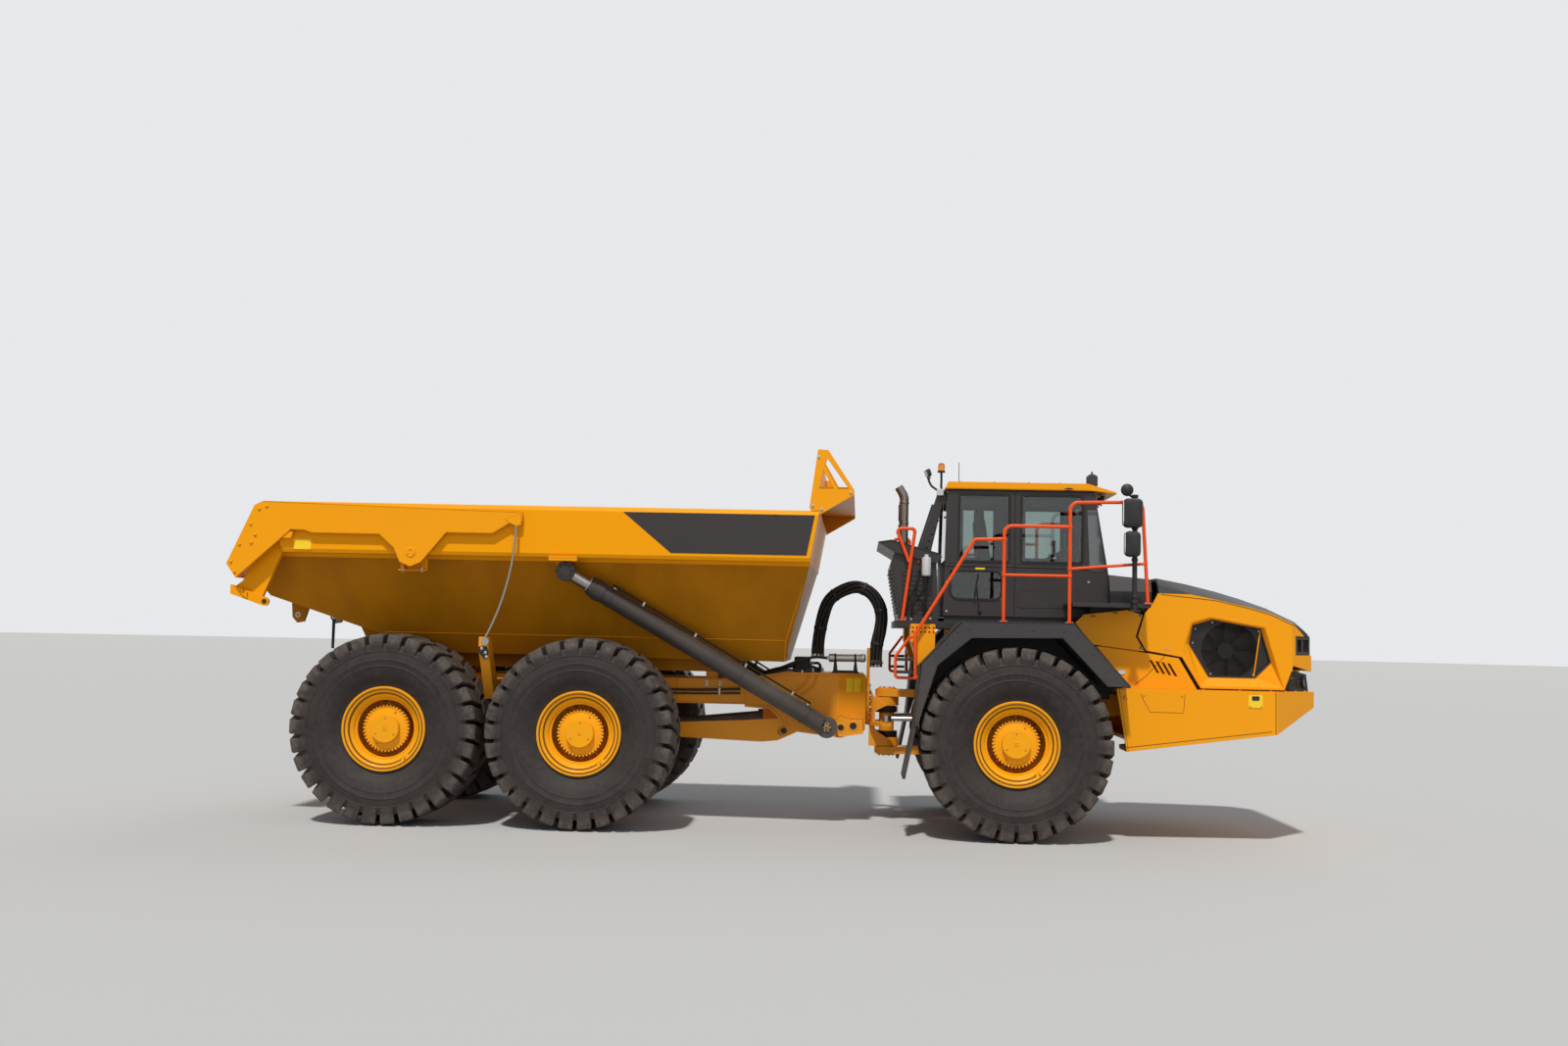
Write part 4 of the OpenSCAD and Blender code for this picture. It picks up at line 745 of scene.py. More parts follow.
def tyre(axle, side, way):
    low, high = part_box(f"tyre_{axle}_{side}")
    place = Matrix.Translation((low + high) / 2)
    tread = Gather()
    loop = side_profile + [(r, -share) for r, share in side_profile[:0:-1]]
    turns = []
    for i in range(CARCASS_STEPS):
        angle = 2 * math.pi * i / CARCASS_STEPS
        turns.append([(r * math.cos(angle), share * half_width, r * math.sin(angle)) for r, share in loop])
    tread.loft(turns, 0, place, around=True,
               values=[max(0.0, 0.5 - abs(0.97 - r) * 9) for r, _ in loop] * CARCASS_STEPS)
    scale = tyre_radius / DRAWN_RADIUS
    for flank in BOTH:
        for i in range(BLOCKS):
            middle = 360 / BLOCKS * (i + (0.5 if flank > 0 else 0)) + random.uniform(-0.12, 0.12)
            worn = random.uniform(0.0, 0.005)
            rings, values = [], []
            for (share, top, root_share, root), sweep in zip(block_stations, block_turn):
                bevel = 0.011 if top > 1.0 else 0.006
                low_r = min(root, top - 0.004) if top < 0.9 else root
                section = [(root_share, low_r, -4.85), (share - 0.004, top - worn - bevel * 1.3, -4.55),
                           (share, top - worn, -3.95), (share, top - worn, 3.95),
                           (share - 0.004, top - worn - bevel * 1.3, 4.55), (root_share, low_r, 4.85)]
                one = []
                for part, r, offset in section:
                    angle = math.radians(middle + offset + sweep * way)
                    one.append((r * scale * math.cos(angle), part * half_width * flank, r * scale * math.sin(angle)))
                    values.append(0.15 if r < 0.95 else 1.0 if abs(offset) < 4.1 else 0.55)
                rings.append(one)
            tread.loft(rings, 0, place, values=values)
    tread.made(f"tyre_tread_{axle}_{side}", f"wheel_{axle}_{side}", [tyre_rubber], "tyre_rubber",
               [f"tyre_{axle}_{side}"], 24)


for axle in ("front", "mid", "rear"):
    for side, way in SIDES:
        tyre(axle, side, way)

# %% [markdown]
# The rims are one solid each. Added here are the ring of teeth on the hub's flange, the wheel
# nuts down in the dish, the cover's screws and plugs, the steps and rings of the dish with
# painted shade in two grooves between them, and the valve with its guard.

# %% Hub and rim fittings
TEETH, HALF_TOOTH = 40, 0.042
HOOP_STEPS = 96


def wheel_trim(axle, side, way):
    low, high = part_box(f"tyre_{axle}_{side}")
    place = Matrix.Translation((low + high) / 2) @ Matrix.Scale(MM, 4) @ Matrix(
        ((1, 0, 0, 0), (0, 0, way, 0), (0, 1, 0, 0), (0, 0, 0, 1)))
    trim = Gather()

    def polar(radius, degrees, out):
        return (radius * math.cos(math.radians(degrees)), radius * math.sin(math.radians(degrees)), out)

    trim.turned([(236, 232), (236, 237), (263, 237), (263, 232)], (0, 0, 0), (0, 0, 1), 2, 64, place)
    for i in range(TEETH):
        angle = 2 * math.pi * i / TEETH
        trim.plate([(r * math.cos(angle + w), r * math.sin(angle + w)) for r, w in
                    ((232, -HALF_TOOTH), (264.5, -HALF_TOOTH * 0.9), (264.5, HALF_TOOTH * 0.9), (232, HALF_TOOTH))],
                   230, 248, 0, 3, place)
    for i in range(20):
        trim.bolt(polar(296, 18 * i + 4, -41), (0, 0, 1), 34, 1, 30, place)
    for i in range(3):
        trim.bolt(polar(118, 120 * i + 90, 304), (0, 0, 1), 16, 1, 7, place)
    trim.turned([(22, 303), (22, 309), (17, 312), (17, 308), (0, 308)], (0, 0, 0), (0, 0, 1), 0, 18, place)
    for degrees in (62, 242):
        trim.turned([(13, 246), (13, 256), (9, 258)], polar(208, degrees, 0), (0, 0, 1), 1, 8, place)
    # Finish 3 lays dark brown rings into two grooves of the dish: painted shade.
    for section, finish in (([(452, 362), (456, 365.5), (465, 365.5), (469, 362), (460, 358)], 0),
                            ([(321, 244), (321, 262), (328, 270), (338, 270), (344, 262), (346, 262)], 0),
                            ([(352, 270), (353, 292), (358, 297), (388, 324), (392, 322), (380, 300)], 0),
                            ([(404, 332), (407, 345), (416, 353), (429, 357), (434, 352), (428, 340)], 0),
                            ([(392, 322), (394, 333), (403, 341), (405, 334)], 3),
                            ([(434, 350), (434, 363.2), (449, 363.2), (449, 350)], 3),
                            ([(402, 325), (405, 331), (414, 334), (416, 329), (409, 321)], 0)):
        turns = []
        for k in range(HOOP_STEPS):
            angle = 2 * math.pi * k / HOOP_STEPS
            turns.append([(r * math.cos(angle), r * math.sin(angle), out) for r, out in section])
        trim.loft(turns, finish, place, around=True)
    trim.plate([polar(372, -58, 0)[:2], polar(437, -58, 0)[:2], polar(437, -44, 0)[:2], polar(372, -44, 0)[:2]],
               302, 346, 0, 4, place)
    trim.tube([polar(352, -50, 285), polar(366, -51, 300), polar(392, -51, 352), polar(402, -51, 358)], 7, 1, 8,
              place)
    trim.turned([(10, 0), (10, 14), (7, 18)], polar(402, -51, 354), (0, 0, 1), 1, 8, place)
    for degrees in (128, 146):
        trim.turned([(9, 290), (9, 300), (5, 301)], polar(378, degrees, 0), (0, 0, 1), 2, 10, place)
    trim.made(f"hub_fittings_{axle}_{side}", f"wheel_{axle}_{side}",
              [wheel_yellow, frame_yellow, black_plastic, groove_shade], "yellow_paint")


for axle in ("front", "mid", "rear"):
    for side, way in SIDES:
        wheel_trim(axle, side, way)

# %% [markdown]
# Seams and seals make the panels read as separate parts. A ribbon follows a line in side view at
# a given distance from the middle of the truck, and is used for rubber seals behind the gaps, for
# folds and for the edges of hatches.

# %% Helper: a ribbon along a line
def ribbon(line, width):
    """Outline of a strip of the given width along a line."""
    line = [Vector(p) for p in line]
    left_edge, right_edge = [], []
    for i, here in enumerate(line):
        way = Vector((0, 0))
        if i:
            way += (here - line[i - 1]).normalized()
        if i < len(line) - 1:
            way += (line[i + 1] - here).normalized()
        way.normalize()
        normal = Vector((-way.y, way.x)) * width / 2
        left_edge.append(tuple(here + normal))
        right_edge.append(tuple(here - normal))
    return left_edge + right_edge[::-1]


# %% [markdown]
# Dark seals lie behind the gaps between the hood, its side panels and the bumper. Each front wheel
# gets an inner wall under its mudguard, and the cab stands on four rubber mounts on each side.

# %% Seals, arch walls and cab mounts
seals = Gather()
for s in BOTH:
    for line, width in (([(1490, 2560), (1400, 2285), (1490, 2122), (1895, 2055), (2085, 1706)], 70),
                        ([(900, 2172), (1480, 2108)], 60), ([(1300, 2590), (1480, 2545)], 60),
                        ([(2090, 1712), (3060, 1712)], 30)):
        seals.plate(ribbon(line, width), s * 1172, s * 1192, 0, 2)
    seals.plate([(-1075, 1560), (-1058, 1925), (-640, 2326), (620, 2326), (1165, 1800), (1120, 1560), (700, 1560),
                 (560, 1420), (-560, 1420), (-700, 1560)], s * 985, s * 1006, 1, 3)
    seals.plate(oblong(-770, 974, 2411, 2478), s * 838, s * 856, 1, 3)
    for x in (-600, -200, 200, 600):
        seals.turned([(38, 2411), (42, 2420), (30, 2436), (30, 2458), (42, 2470), (38, 2478)], (x, s * 780, 0),
                     (0, 0, 1), 0, 16)
    seals.plate(oblong(880, 1490, 2480, 2602), s * 1150, s * 1168, 1, 3)
seals.made("arch_walls_and_seals", "tractor", [seal_rubber, black_plastic], "black_plastic")

# %% [markdown]
# Behind the hexagonal opening sits a flat dark shroud with a round hole for the fan. A woven wire
# screen covers it, so fine that it only greys the fan, and a thin rail crosses it at the front.
# The slotted nose band is drawn again with rounded slot ends, framed and ribbed.

# %% Hexagonal windows and nose band
hexagon = [(2034, 2423), (2247, 2491), (2787, 2401), (2899, 2025), (2724, 1850), (2211, 1851), (1990, 2219)]
fan_at, fan_hole = Vector((2450, 2145)), 318
WIRE_PITCH, HOLE_STEPS = 13, 84


def inside_hexagon(p, margin=0.0):
    corners = inset(hexagon, margin) if margin else hexagon
    left_of = [(b[0] - a[0]) * (p[1] - a[1]) > (b[1] - a[1]) * (p[0] - a[0])
               for a, b in zip(corners, corners[1:] + corners[:1])]
    return all(left_of) or not any(left_of)


def chord(axis, level):
    """Where a straight wire enters and leaves the hexagon."""
    hits = []
    for a, b in zip(hexagon, hexagon[1:] + hexagon[:1]):
        low, high = a[axis], b[axis]
        if (low - level) * (high - level) < 0:
            hits.append(a[1 - axis] + (b[1 - axis] - a[1 - axis]) * (level - low) / (high - low))
    return sorted(hits)


screens = Gather()
for s in BOTH:
    for axis, first, last in ((0, 2004, 2896), (1, 1862, 2484)):
        for level in range(first, last, WIRE_PITCH):
            ends = chord(axis, level)
            if len(ends) == 2 and ends[1] - ends[0] > 20:
                low, high = ends
                wave = 1.0 if level // WIRE_PITCH % 2 else -1.0
                points = [(level, s * (1181 + wave), low), (level, s * (1181 - wave), high)]
                if axis:
                    points = [(p[2], p[1], p[0]) for p in points]
                screens.tube(points, 1.1, 0, 4)
    rings = []
    for k in range(HOLE_STEPS):
        a = 2 * math.pi * k / HOLE_STEPS
        x, z = fan_at.x + fan_hole * math.cos(a), fan_at.y + fan_hole * math.sin(a)
        way = Vector((x, z)) - fan_at
        step = 1.0
        while inside_hexagon(fan_at + way * (step + 0.01), 6) and step < 3:
            step += 0.01
        u, v = fan_at + way * step
        rings.append([(x, s * 1128, z), (x, s * 1166, z), (u, s * 1166, v), (u, s * 1128, v)])
    screens.loft(rings, 1, BASE, around=True)
    screens.plate(ribbon([(2790, 2398), (2712, 1853)], 13), s * 1166, s * 1190, 2, 2)
    screens.plate(ribbon([(x * 0.994 + 14.5, z * 0.994 + 13) for x, z in hexagon + hexagon[:1]], 16),
                  s * 1176, s * 1196, 1, 3)
    for x, z in ((2060, 2385), (2250, 2462), (2770, 2375), (2705, 1880), (2230, 1880), (2030, 2225)):
        screens.bolt((x, s * 1186, z), (0, s, 0), 13, 3)
for i in range(21):
    y = -902 + i * 90
    screens.block((3352, 3391), (y, y + 26), (2134, 2301), 1, 5)
screens.plate(oblong(-985, 985, 2111, 2140), 3360, 3392, 1, 4, FACE)
screens.plate(oblong(-985, 985, 2295, 2324), 3360, 3392, 1, 4, FACE)
for z in (2175, 2218, 2260):
    screens.block((3362, 3374), (-930, 930), (z, z + 10), 1, 3)
for s in BOTH:
    for low, high in ((2111, 2150), (2285, 2324)):
        screens.plate([(3176, s * 1170), (3176, s * 1199), (3392, s * 998), (3392, s * 975), (3362, s * 975)],
                      low, high, 1, 3, PLAN)
    for a, b in ((0.0, 0.14), (0.42, 0.52), (0.88, 1.0)):
        p, q = Vector((3176, 1199)), Vector((3392, 998))
        u, v = p.lerp(q, a), p.lerp(q, b)
        screens.plate([(u.x, s * u.y), (v.x, s * v.y), (v.x - 12, s * (v.y - 26)), (u.x - 12, s * (u.y - 26))],
                      2140, 2296, 1, 3, PLAN)
    screens.plate([(3176, s * 1150), (3362, s * 972), (3352, s * 962), (3166, s * 1140)], 2112, 2323, 4, 3, PLAN)
screens.block((3340, 3352), (-975, 975), (2112, 2323), 4, 3)
screens.made("window_screens_and_nose_band", "hood",
             [guard_grey, cab_brown_black, yellow_enamel, zinc, black_plastic], "black_plastic", ["hood_grilles"])

# %% [markdown]
# The head lamps sit in dark housings under the nose. Each housing gets a recessed bright bowl for
# two round lamps, a clear lens in front of each bowl and a slim marker lamp at its outer end.

# %% Head lamps
lights = Gather()
bowl = 66
for s in BOTH:
    for y, z, set_back, outward in ((770, 1812, 0, 0.05), (930, 1808, 37.5, 0.55)):
        x = 3400 - (z - 1700) * 30 / 195 - set_back
        toward = Vector((1, s * outward, 0.12)).normalized()
        at = Vector((x, s * y, z)) - toward * 6
        lights.turned([(bowl + 15, 0), (bowl + 17, 10), (bowl + 13, 16), (bowl + 3, 16), (bowl, 8), (bowl, -2)],
                      at, toward, 0, 32)
        lights.turned([(bowl, 5), (bowl * 0.85, -1), (bowl * 0.3, -6), (0, -6)], at, toward, 1, 32)
        lights.turned([(24, -5), (24, 2), (18, 6), (0, 7)], at, toward, 1, 20)
        lights.turned([(bowl + 2, 7), (bowl + 2, 11), (bowl * 0.7, 16), (bowl * 0.3, 18), (0, 18.5)],
                      at, toward, 2, 32)
    toward = Vector((1, s * 1.25, 0.1)).normalized()
    at = Vector((3262, s * 1010, 1800)) - toward * 8
    lights.turned([(52, 0), (54, 8), (50, 13), (42, 13), (40, 6)], at, toward, 0, 28)
    lights.turned([(41, 2), (41, 8), (28, 12), (0, 13)], at, toward, 2, 28)
    turned_out = Matrix.Rotation(math.radians(90 * s), 4, "X")
    lights.plate(rounded(oblong(-60, 60, -14, 14), 8), 0, 12, 3, 3,
                 BASE @ Matrix.Translation((3120, s * 1121, 1850)) @ turned_out)
    lights.plate([(3082, 1706), (3390, 1706), (3388, 1728), (3084, 1728)], s * 556, s * 563, 0, 2)
lights.made("lamp_bowls_and_lenses", "tractor", [black_plastic, mirror_glass, lamp_lens, amber_lens], "black_plastic")

# %% [markdown]
# The bumper is one welded box, but its skin is put together from plates. Dark joint lines mark the
# corner plate and the hatch ahead of the wheel, and a dark line along the lower fold is painted
# shade; bolts and a blank yellow plate follow the photograph. A towing eye hangs from the frame
# behind the bumper's underside.

# %% Bumper skin, steps and towing eyes
SKIRT_SIDE, SKIRT_TOP = 1500, 1699
skin = Gather()
for s in BOTH:
    out = s * SKIRT_SIDE
    # The first line, along the lower fold, is painted shade; the others are dark joints.
    for line, width in (([(1185, 1040), (1900, 1137), (2838, 1262)], 5),
                        ([(1395, 1652), (1410, 1608), (1500, 1446), (1868, 1446), (1882, 1652)], 4.5),
                        ([(2880, 1697), (2880, 1236)], 7), ([(1158, 1697), (1262, 1012)], 4)):
        skin.plate(ribbon(line, width), out, out + s * 1.6, 2, 0.5)
    skin.plate(oblong(2578, 2737, 1668, 1520), out, out + s * 5, 1, 2)
    skin.plate(rounded(oblong(2616, 2699, 1650, 1602), 14), out + s * 5, out + s * 8, 4, 1)
    skin.bolt((1224, out, 1598), (0, s, 0), 34, 3)
    for x, z in ((2596, 1536), (2719, 1536)):
        skin.bolt((x, out + s * 4, z), (0, s, 0), 12, 3)
    for x in (1430, 1850):
        skin.bolt((x, out, 1630), (0, s, 0), 15, 3)
    for x in (1300, 1700, 2100, 2500, 2840):
        skin.bolt((x, s * 1440, SKIRT_TOP), (0, 0, 1), 22, 3)
    for x in (3040, 3190, 3330):
        skin.bolt((x, s * (SKIRT_SIDE - (x - 2900) - 60), SKIRT_TOP), (0, 0, 1), 20, 3)
    skin.plate([(3010, 1480), (3110, 1480), (3120, 1260), (3095, 1205), (3050, 1185), (3008, 1210), (2992, 1260)],
               s * 480, s * 520, 3, 5)
    hook = [(52 * math.cos(a) + 3055, s * 500, 52 * math.sin(a) + 1240)
            for a in (2 * math.pi * k / 28 for k in range(28))]
    skin.tube(hook, 17, 3, 8, closed=True)
for k in range(12):
    x = 3130 + (k % 4) * 62
    y = -210 + (k // 4) * 210
    skin.plate(rounded(oblong(x - 24, x + 24, y - 70, y + 70), 18, 3), 1699, 1703, 3, 1.5, PLAN)
skin.made("bumper_seams_and_bolts", "tractor",
          [yellow_enamel, label_yellow, seal_rubber, frame_yellow, black_plastic], "yellow_paint")

# %% [markdown]
# The hood and the side panels have small fittings: latches at the rear edge, a pale blank marker,
# amber markers on the upper edge, and a raised rim around each louvre. A fine dark line along the
# side panel's fold is painted shade, and another marks the parting of the hood's crown.

# %% Panels and latches
HOOD_SIDE = 1250
panels = Gather()
for s in BOTH:
    y = s * HOOD_SIDE
    panels.plate(rounded(oblong(1186, 1262, 1905, 1855), 10), y, y + s * 7, 2, 2)
    for x, z in ((1195, 1848), (1215, 1838)):
        panels.bolt((x, y, z - 10), (0, s, 0), 12, 1)
    for i in range(4):
        louvre = [(1532 + 67 * i, 2022 - 11 * i), (1562 + 67 * i, 2022 - 11 * i), (1645 + 67 * i, 1882 - 11 * i),
                  (1615 + 67 * i, 1882 - 11 * i)]
        panels.plate(ribbon(louvre + louvre[:1], 5), y - s * 2, y + s * 3, 0, 1)
        panels.plate(louvre, s * 1196, s * 1214, 3, 2)
    # Painted shade: a dark line along the side panel's fold.
    panels.plate(ribbon([(1365, 1735), (1500, 1842), (1640, 1992), (1712, 2076)], 5), y, y + s * 1.4, 4, 0.5)
    for x, z in ((1440, 2520), (1447, 2155)):
        panels.plate(rounded(oblong(x - 20, x + 20, z - 12, z + 12), 8, 3), y, y + s * 9, 3, 3)
        panels.turned([(9, 0), (9, 5), (6, 7), (6, 5), (0, 5)], (x, y + s * 8, z), (0, s, 0), 1, 12)
    for x, z in ((870, 2492), (1120, 2534)):
        panels.plate(rounded([(x, z), (x + 56, z + 8), (x + 55, z + 22), (x - 1, z + 14)], 5, 3), y, y + s * 9, 5, 2)
panels.made("panel_fittings", "tractor", [yellow_enamel, zinc, pale_plastic, black_plastic, seal_rubber, amber_lens],
            "yellow_paint")
crown = Gather()
for s in BOTH:
    crown.plate(ribbon([(1660, 2765), (2272, 2708), (2649, 2626), (2899, 2556), (3149, 2441)], 6), s * HOOD_SIDE,
                s * (HOOD_SIDE + 1.6), 1, 0.5)
    crown.plate(ribbon([(1935, 2110), (1925, 2212), (2000, 2458), (2212, 2521), (2826, 2417), (2939, 2031),
                        (3028, 1742)], 4), s * HOOD_SIDE, s * (HOOD_SIDE + 1.5), 0, 0.5)
    for x in (1720, 1760):
        crown.bolt((x, s * HOOD_SIDE, 2150 - (x - 1720) * 0.16), (0, s, 0), 14, 2)
crown.made("hood_seams", "hood", [yellow_enamel, seal_rubber, zinc], "yellow_paint")

# %% [markdown]
# The cab's windows get black rubber seals with rounded corners and a printed black band behind
# the glass. A dark line marks the pillar joint of the pressed sheet, and a dark line along its fold
# under the windows is painted shade. Each side also gets a gutter under the roof, a black glass
# plate on the front pillar and a small wiper, and two long wipers lie on the windscreen.

# %% Cab seals, folds and wipers
CAB_WALL = 880
SCREEN_FOOT, SCREEN_HEAD, SCREEN_LOW, SCREEN_HIGH, SCREEN_SLOPE = 1108, 961, 3031, 3880, 0.173
cab = Gather()


def frame_ring(gather, low_x, high_x, low_z, high_z, corner, width, y_in, y_out, skin):
    """A rounded frame around a window opening, drawn in side view."""
    outer = rounded(oblong(low_x, high_x, low_z, high_z), corner, 6)
    inner = inset(outer, width)
    gather.loft([[(*p, y_in) for p in outer], [(*p, y_out) for p in outer], [(*p, y_out) for p in inner],
                 [(*p, y_in) for p in inner]], skin, FLANK, around=True)


for s in BOTH:
    for low_x, high_x in ((-604, -19), (119, 829)):
        frame_ring(cab, low_x - 14, high_x + 14, 3106, 3914, 46, 26, s * 874, s * 887, 0)
        frame_ring(cab, low_x + 2, high_x - 2, 3122, 3898, 60, 46, s * 838, s * 843, 1)
    frame_ring(cab, -718, -78, 2659, 3023, 130, 30, s * 874, s * 888, 0)
    frame_ring(cab, -702, -94, 2675, 3007, 150, 24, s * 838, s * 843, 1)
    # The second line, along the fold under the windows, is painted shade; the first is the pillar joint.
    for line, width in (([(45, 2500), (45, 3950)], 9), ([(-778, 3052), (-30, 3052), (40, 3058), (1118, 3040)], 7)):
        cab.plate(ribbon(line, width), s * CAB_WALL, s * (CAB_WALL + 1.6), 0, 0.5)
    cab.plate(rounded([(-770, 3062), (30, 3068), (30, 3096), (-770, 3096)], 10, 3), s * CAB_WALL,
              s * (CAB_WALL + 6), 2, 3)
    cab.plate(rounded([(60, 3060), (1095, 3045), (1095, 3078), (60, 3096)], 10, 3), s * CAB_WALL,
              s * (CAB_WALL + 6), 2, 3)
    cab.plate(rounded([(85, 2590), (820, 2600), (835, 2770), (760, 2800), (85, 2784)], 30, 4), s * CAB_WALL,
              s * (CAB_WALL + 5), 2, 4)
    cab.plate([(-770, 3945), (1010, 3945), (1000, 3957), (-766, 3957)], s * CAB_WALL, s * 902, 1, 3)
    cab.plate([(876, 3742), (986, 3742), (1074, 3100), (1080, 3028), (908, 3036)], s * CAB_WALL,
              s * (CAB_WALL + 5), 5, 3)
    cab.plate(rounded(oblong(-412, -300, 3024, 3046), 4, 2), s * (CAB_WALL + 6), s * (CAB_WALL + 8), 3, 0.8)
    cab.tube([(-356, s * 884, 2500), (-356, s * 902, 2512), (-372, s * 903, 2650), (-392, s * 903, 2820)], 6, 1, 8)
    cab.plate(ribbon([(-420, 2640), (-376, 2970)], 14), s * 892, s * 899, 1, 2)
    cab.turned([(26, 0), (26, 16), (18, 24), (0, 25)], (-356, s * CAB_WALL, 2540), (0, s, 0), 1, 16)
    for z in (2560, 2900):
        cab.bolt((900, s * CAB_WALL, z), (0, s, 0), 18, 4)
        cab.bolt((-740, s * CAB_WALL, z - 30), (0, s, 0), 18, 4)
for y in (-789, 789):
    cab.tube([(SCREEN_FOOT, y, SCREEN_LOW), (SCREEN_HEAD, y, SCREEN_HIGH)], 12, 0, 8)
for x, z in ((SCREEN_FOOT, SCREEN_LOW + 4), (SCREEN_HEAD, SCREEN_HIGH - 2)):
    cab.tube([(x, -789, z), (x, 789, z)], 12, 0, 8)
for z in (3126, 3874):
    cab.tube([(-754 + (z - 3120) * 0.04, -786, z), (-754 + (z - 3120) * 0.04, 786, z)], 11, 0, 8)
for y in (-786, 786):
    cab.tube([(-754, y, 3126), (-726, y, 3874)], 11, 0, 8)
for y in (-420, 300):
    foot = Vector((1112, y, 3020))
    tip = Vector((1112 - SCREEN_SLOPE * 640, y + 310, 3660))
    cab.tube([foot, foot.lerp(tip, 0.5) + Vector((16, 0, 4)), tip + Vector((8, 0, 0))], 9, 1, 8)
    cab.tube([(1110, y + 175, 3130), (1110 - SCREEN_SLOPE * 700, y + 450, 3790)], 8, 0, 6)
    cab.turned([(30, -6), (30, 14), (18, 26), (0, 27)], foot + Vector((2, 0, 0)), (1, 0, 0), 1, 16)
cab.made("cab_seals_and_wipers", "tractor",
         [seal_rubber, black_plastic, cab_brown_black, label_yellow, zinc, pillar_black_glass], "black_plastic")

# %% [markdown]
# Through the glass one sees the seat, a monitor on a stalk, two levers, the headliner with its
# sun visor and the far window. The seat gets bolsters and a headrest, all inside the solid that
# stands for it in the CAD model.

# %% Inside the cab
inner = Gather()
monitor = BASE @ Matrix.Translation((520, -470, 0)) @ FRONT_VIEW
inner.plate(rounded([(-262, 2830), (255, 2818), (270, 2960), (230, 2990), (-150, 2978), (-262, 2960)], 40), -245, 245,
            0, 22)
for y in (-262, 232):
    inner.plate(rounded([(-200, 2842), (270, 2835), (276, 2970), (-120, 3000)], 40), y, y + 32, 0, 12)
inner.plate(rounded([(-300, 2960), (-170, 2980), (-268, 3640), (-372, 3640), (-352, 3300)], 40), -240, 240, 0, 24)
inner.plate(rounded([(-366, 3630), (-262, 3630), (-258, 3790), (-362, 3800)], 34), -150, 150, 0, 20)
for y in (-310, 270):
    inner.plate(rounded(oblong(-180, 190, 3060, 3120), 24), y, y + 50, 1, 10)
    inner.turned([(18, 0), (14, 60), (10, 120), (26, 150), (28, 190), (0, 205)], (150, y + 25, 3112),
                 (0.1, 0, 1), 1, 14)
for start, end in (((470, -560, 2880), (500, -470, 3240)), ((760, 300, 3010), (740, 330, 3180))):
    middle = ((start[0] + end[0]) / 2 + 12, (start[1] + end[1]) / 2, (start[2] + end[2]) / 2)
    inner.tube(flowing([start, middle, end], 4), 16, 1, 8)
inner.plate(rounded(oblong(-130, 130, 3220, 3400), 16), 0, 34, 1, 8, monitor)
inner.plate(rounded(oblong(-112, 112, 3238, 3384), 8), -2, 0, 3, 0.8, monitor)
inner.block((-690, 890), (-800, 800), (3902, 3914), 2, 6)
inner.block((820, 836), (-690, 690), (3800, 3900), 1, 6)
for s in BOTH:
    inner.block((-20, 118), (s * 822, s * 836), (2560, 3900), 2, 4)
    inner.block((-730, 1080), (s * 822, s * 836), (3014, 3112), 2, 4)
    for k in range(5):
        inner.turned([(14, 0), (14, 5), (10, 8), (0, 9)], (870 + k * 36, s * 500, 3004), (0, 0, 1), 3, 12)
inner.plate(rounded([(-180, 3000), (180, 3000), (170, 3090), (-170, 3090)], 30), 900, 1010, 1, 14, FACE)
# A dark block behind the seat fills the low window with painted shade, so the cab looks dark inside.
inner.block((-716, -96), (350, 812), (2530, 3000), 1, 30)
inner.block((-680, -140), (370, 790), (3000, 3060), 0, 26)
for x, y in ((-560, -300), (-540, 300)):
    inner.tube(flowing([(x, y, 2530), (x - 30, y + 10, 2700), (x + 10, y - 30, 2760), (x + 40, y, 2700),
                        (x + 20, y, 2540)], 5), 14, 1, 6)
inner.made("cab_fittings", "tractor", [seat_cloth, black_plastic, guard_grey, mirror_glass], "black_plastic")

# %% [markdown]
# The roof carries work lamps under its front edge, a grey sensor housing, an aerial and, at the
# back, an amber beacon and a lamp on bent stalks. A small pale box hangs at the rear corner.

# %% Roof equipment
roof = Gather()


def work_lamp(at, toward):
    """A small rectangular lamp with a bracket, a rim, a bowl and a lens."""
    aim = Vector(toward).to_track_quat("Z", "Y").to_matrix().to_4x4()
    place = BASE @ Matrix.Translation(Vector(at)) @ aim
    roof.plate(rounded(oblong(-62, 62, -44, 44), 16), -46, 4, 0, 10, place)
    roof.plate(rounded(oblong(-56, 56, -38, 38), 13), 4, 7, 1, 1, place)
    roof.plate(rounded(oblong(-54, 54, -36, 36), 12), 7, 15, 2, 4, place)
    roof.tube([(0, -40, -24), (0, -66, -24), (0, -72, -6)], 8, 0, 6, place)


for s in BOTH:
    for y in (640, 400):
        work_lamp((1105, s * y, 3882), (1, s * 0.12, -0.22))
    work_lamp((-790, s * 560, 3900), (-1, s * 0.2, -0.25))
    roof.plate([(600, 3962), (716, 3962), (700, 3990), (616, 3990)], s * 918, s * 921.5, 0, 1)
    roof.turned([(20, 0), (20, 6), (14, 10), (0, 11)], (655, s * 920, 3975), (0, s, 0), 3, 14)
    roof.plate(ribbon([(-770, 3972), (870, 3972), (1200, 3936)], 8), s * 920, s * 922.4, 4, 1)
    for x in (-600, -200, 200, 560):
        roof.bolt((x, s * 860, 4044), (0, 0, 1), 22, 5)
roof.plate(rounded([(880, 4038), (1000, 4022), (1000, 4140), (972, 4160), (900, 4160), (880, 4140)], 16),
           -860, -740, 6, 10)
roof.turned([(30, 0), (30, 8), (12, 14), (10, 40), (0, 42)], (940, -800, 4158), (0, 0, 1), 6, 16)
roof.tube(flowing([(-600, -700, 4045), (-600, -700, 4060), (-604, -702, 4100), (-606, -700, 4292)], 4), 4, 0, 6)
roof.turned([(22, 0), (22, 10), (12, 22), (10, 30), (0, 31)], (-600, -700, 4043), (0, 0, 1), 0, 14)
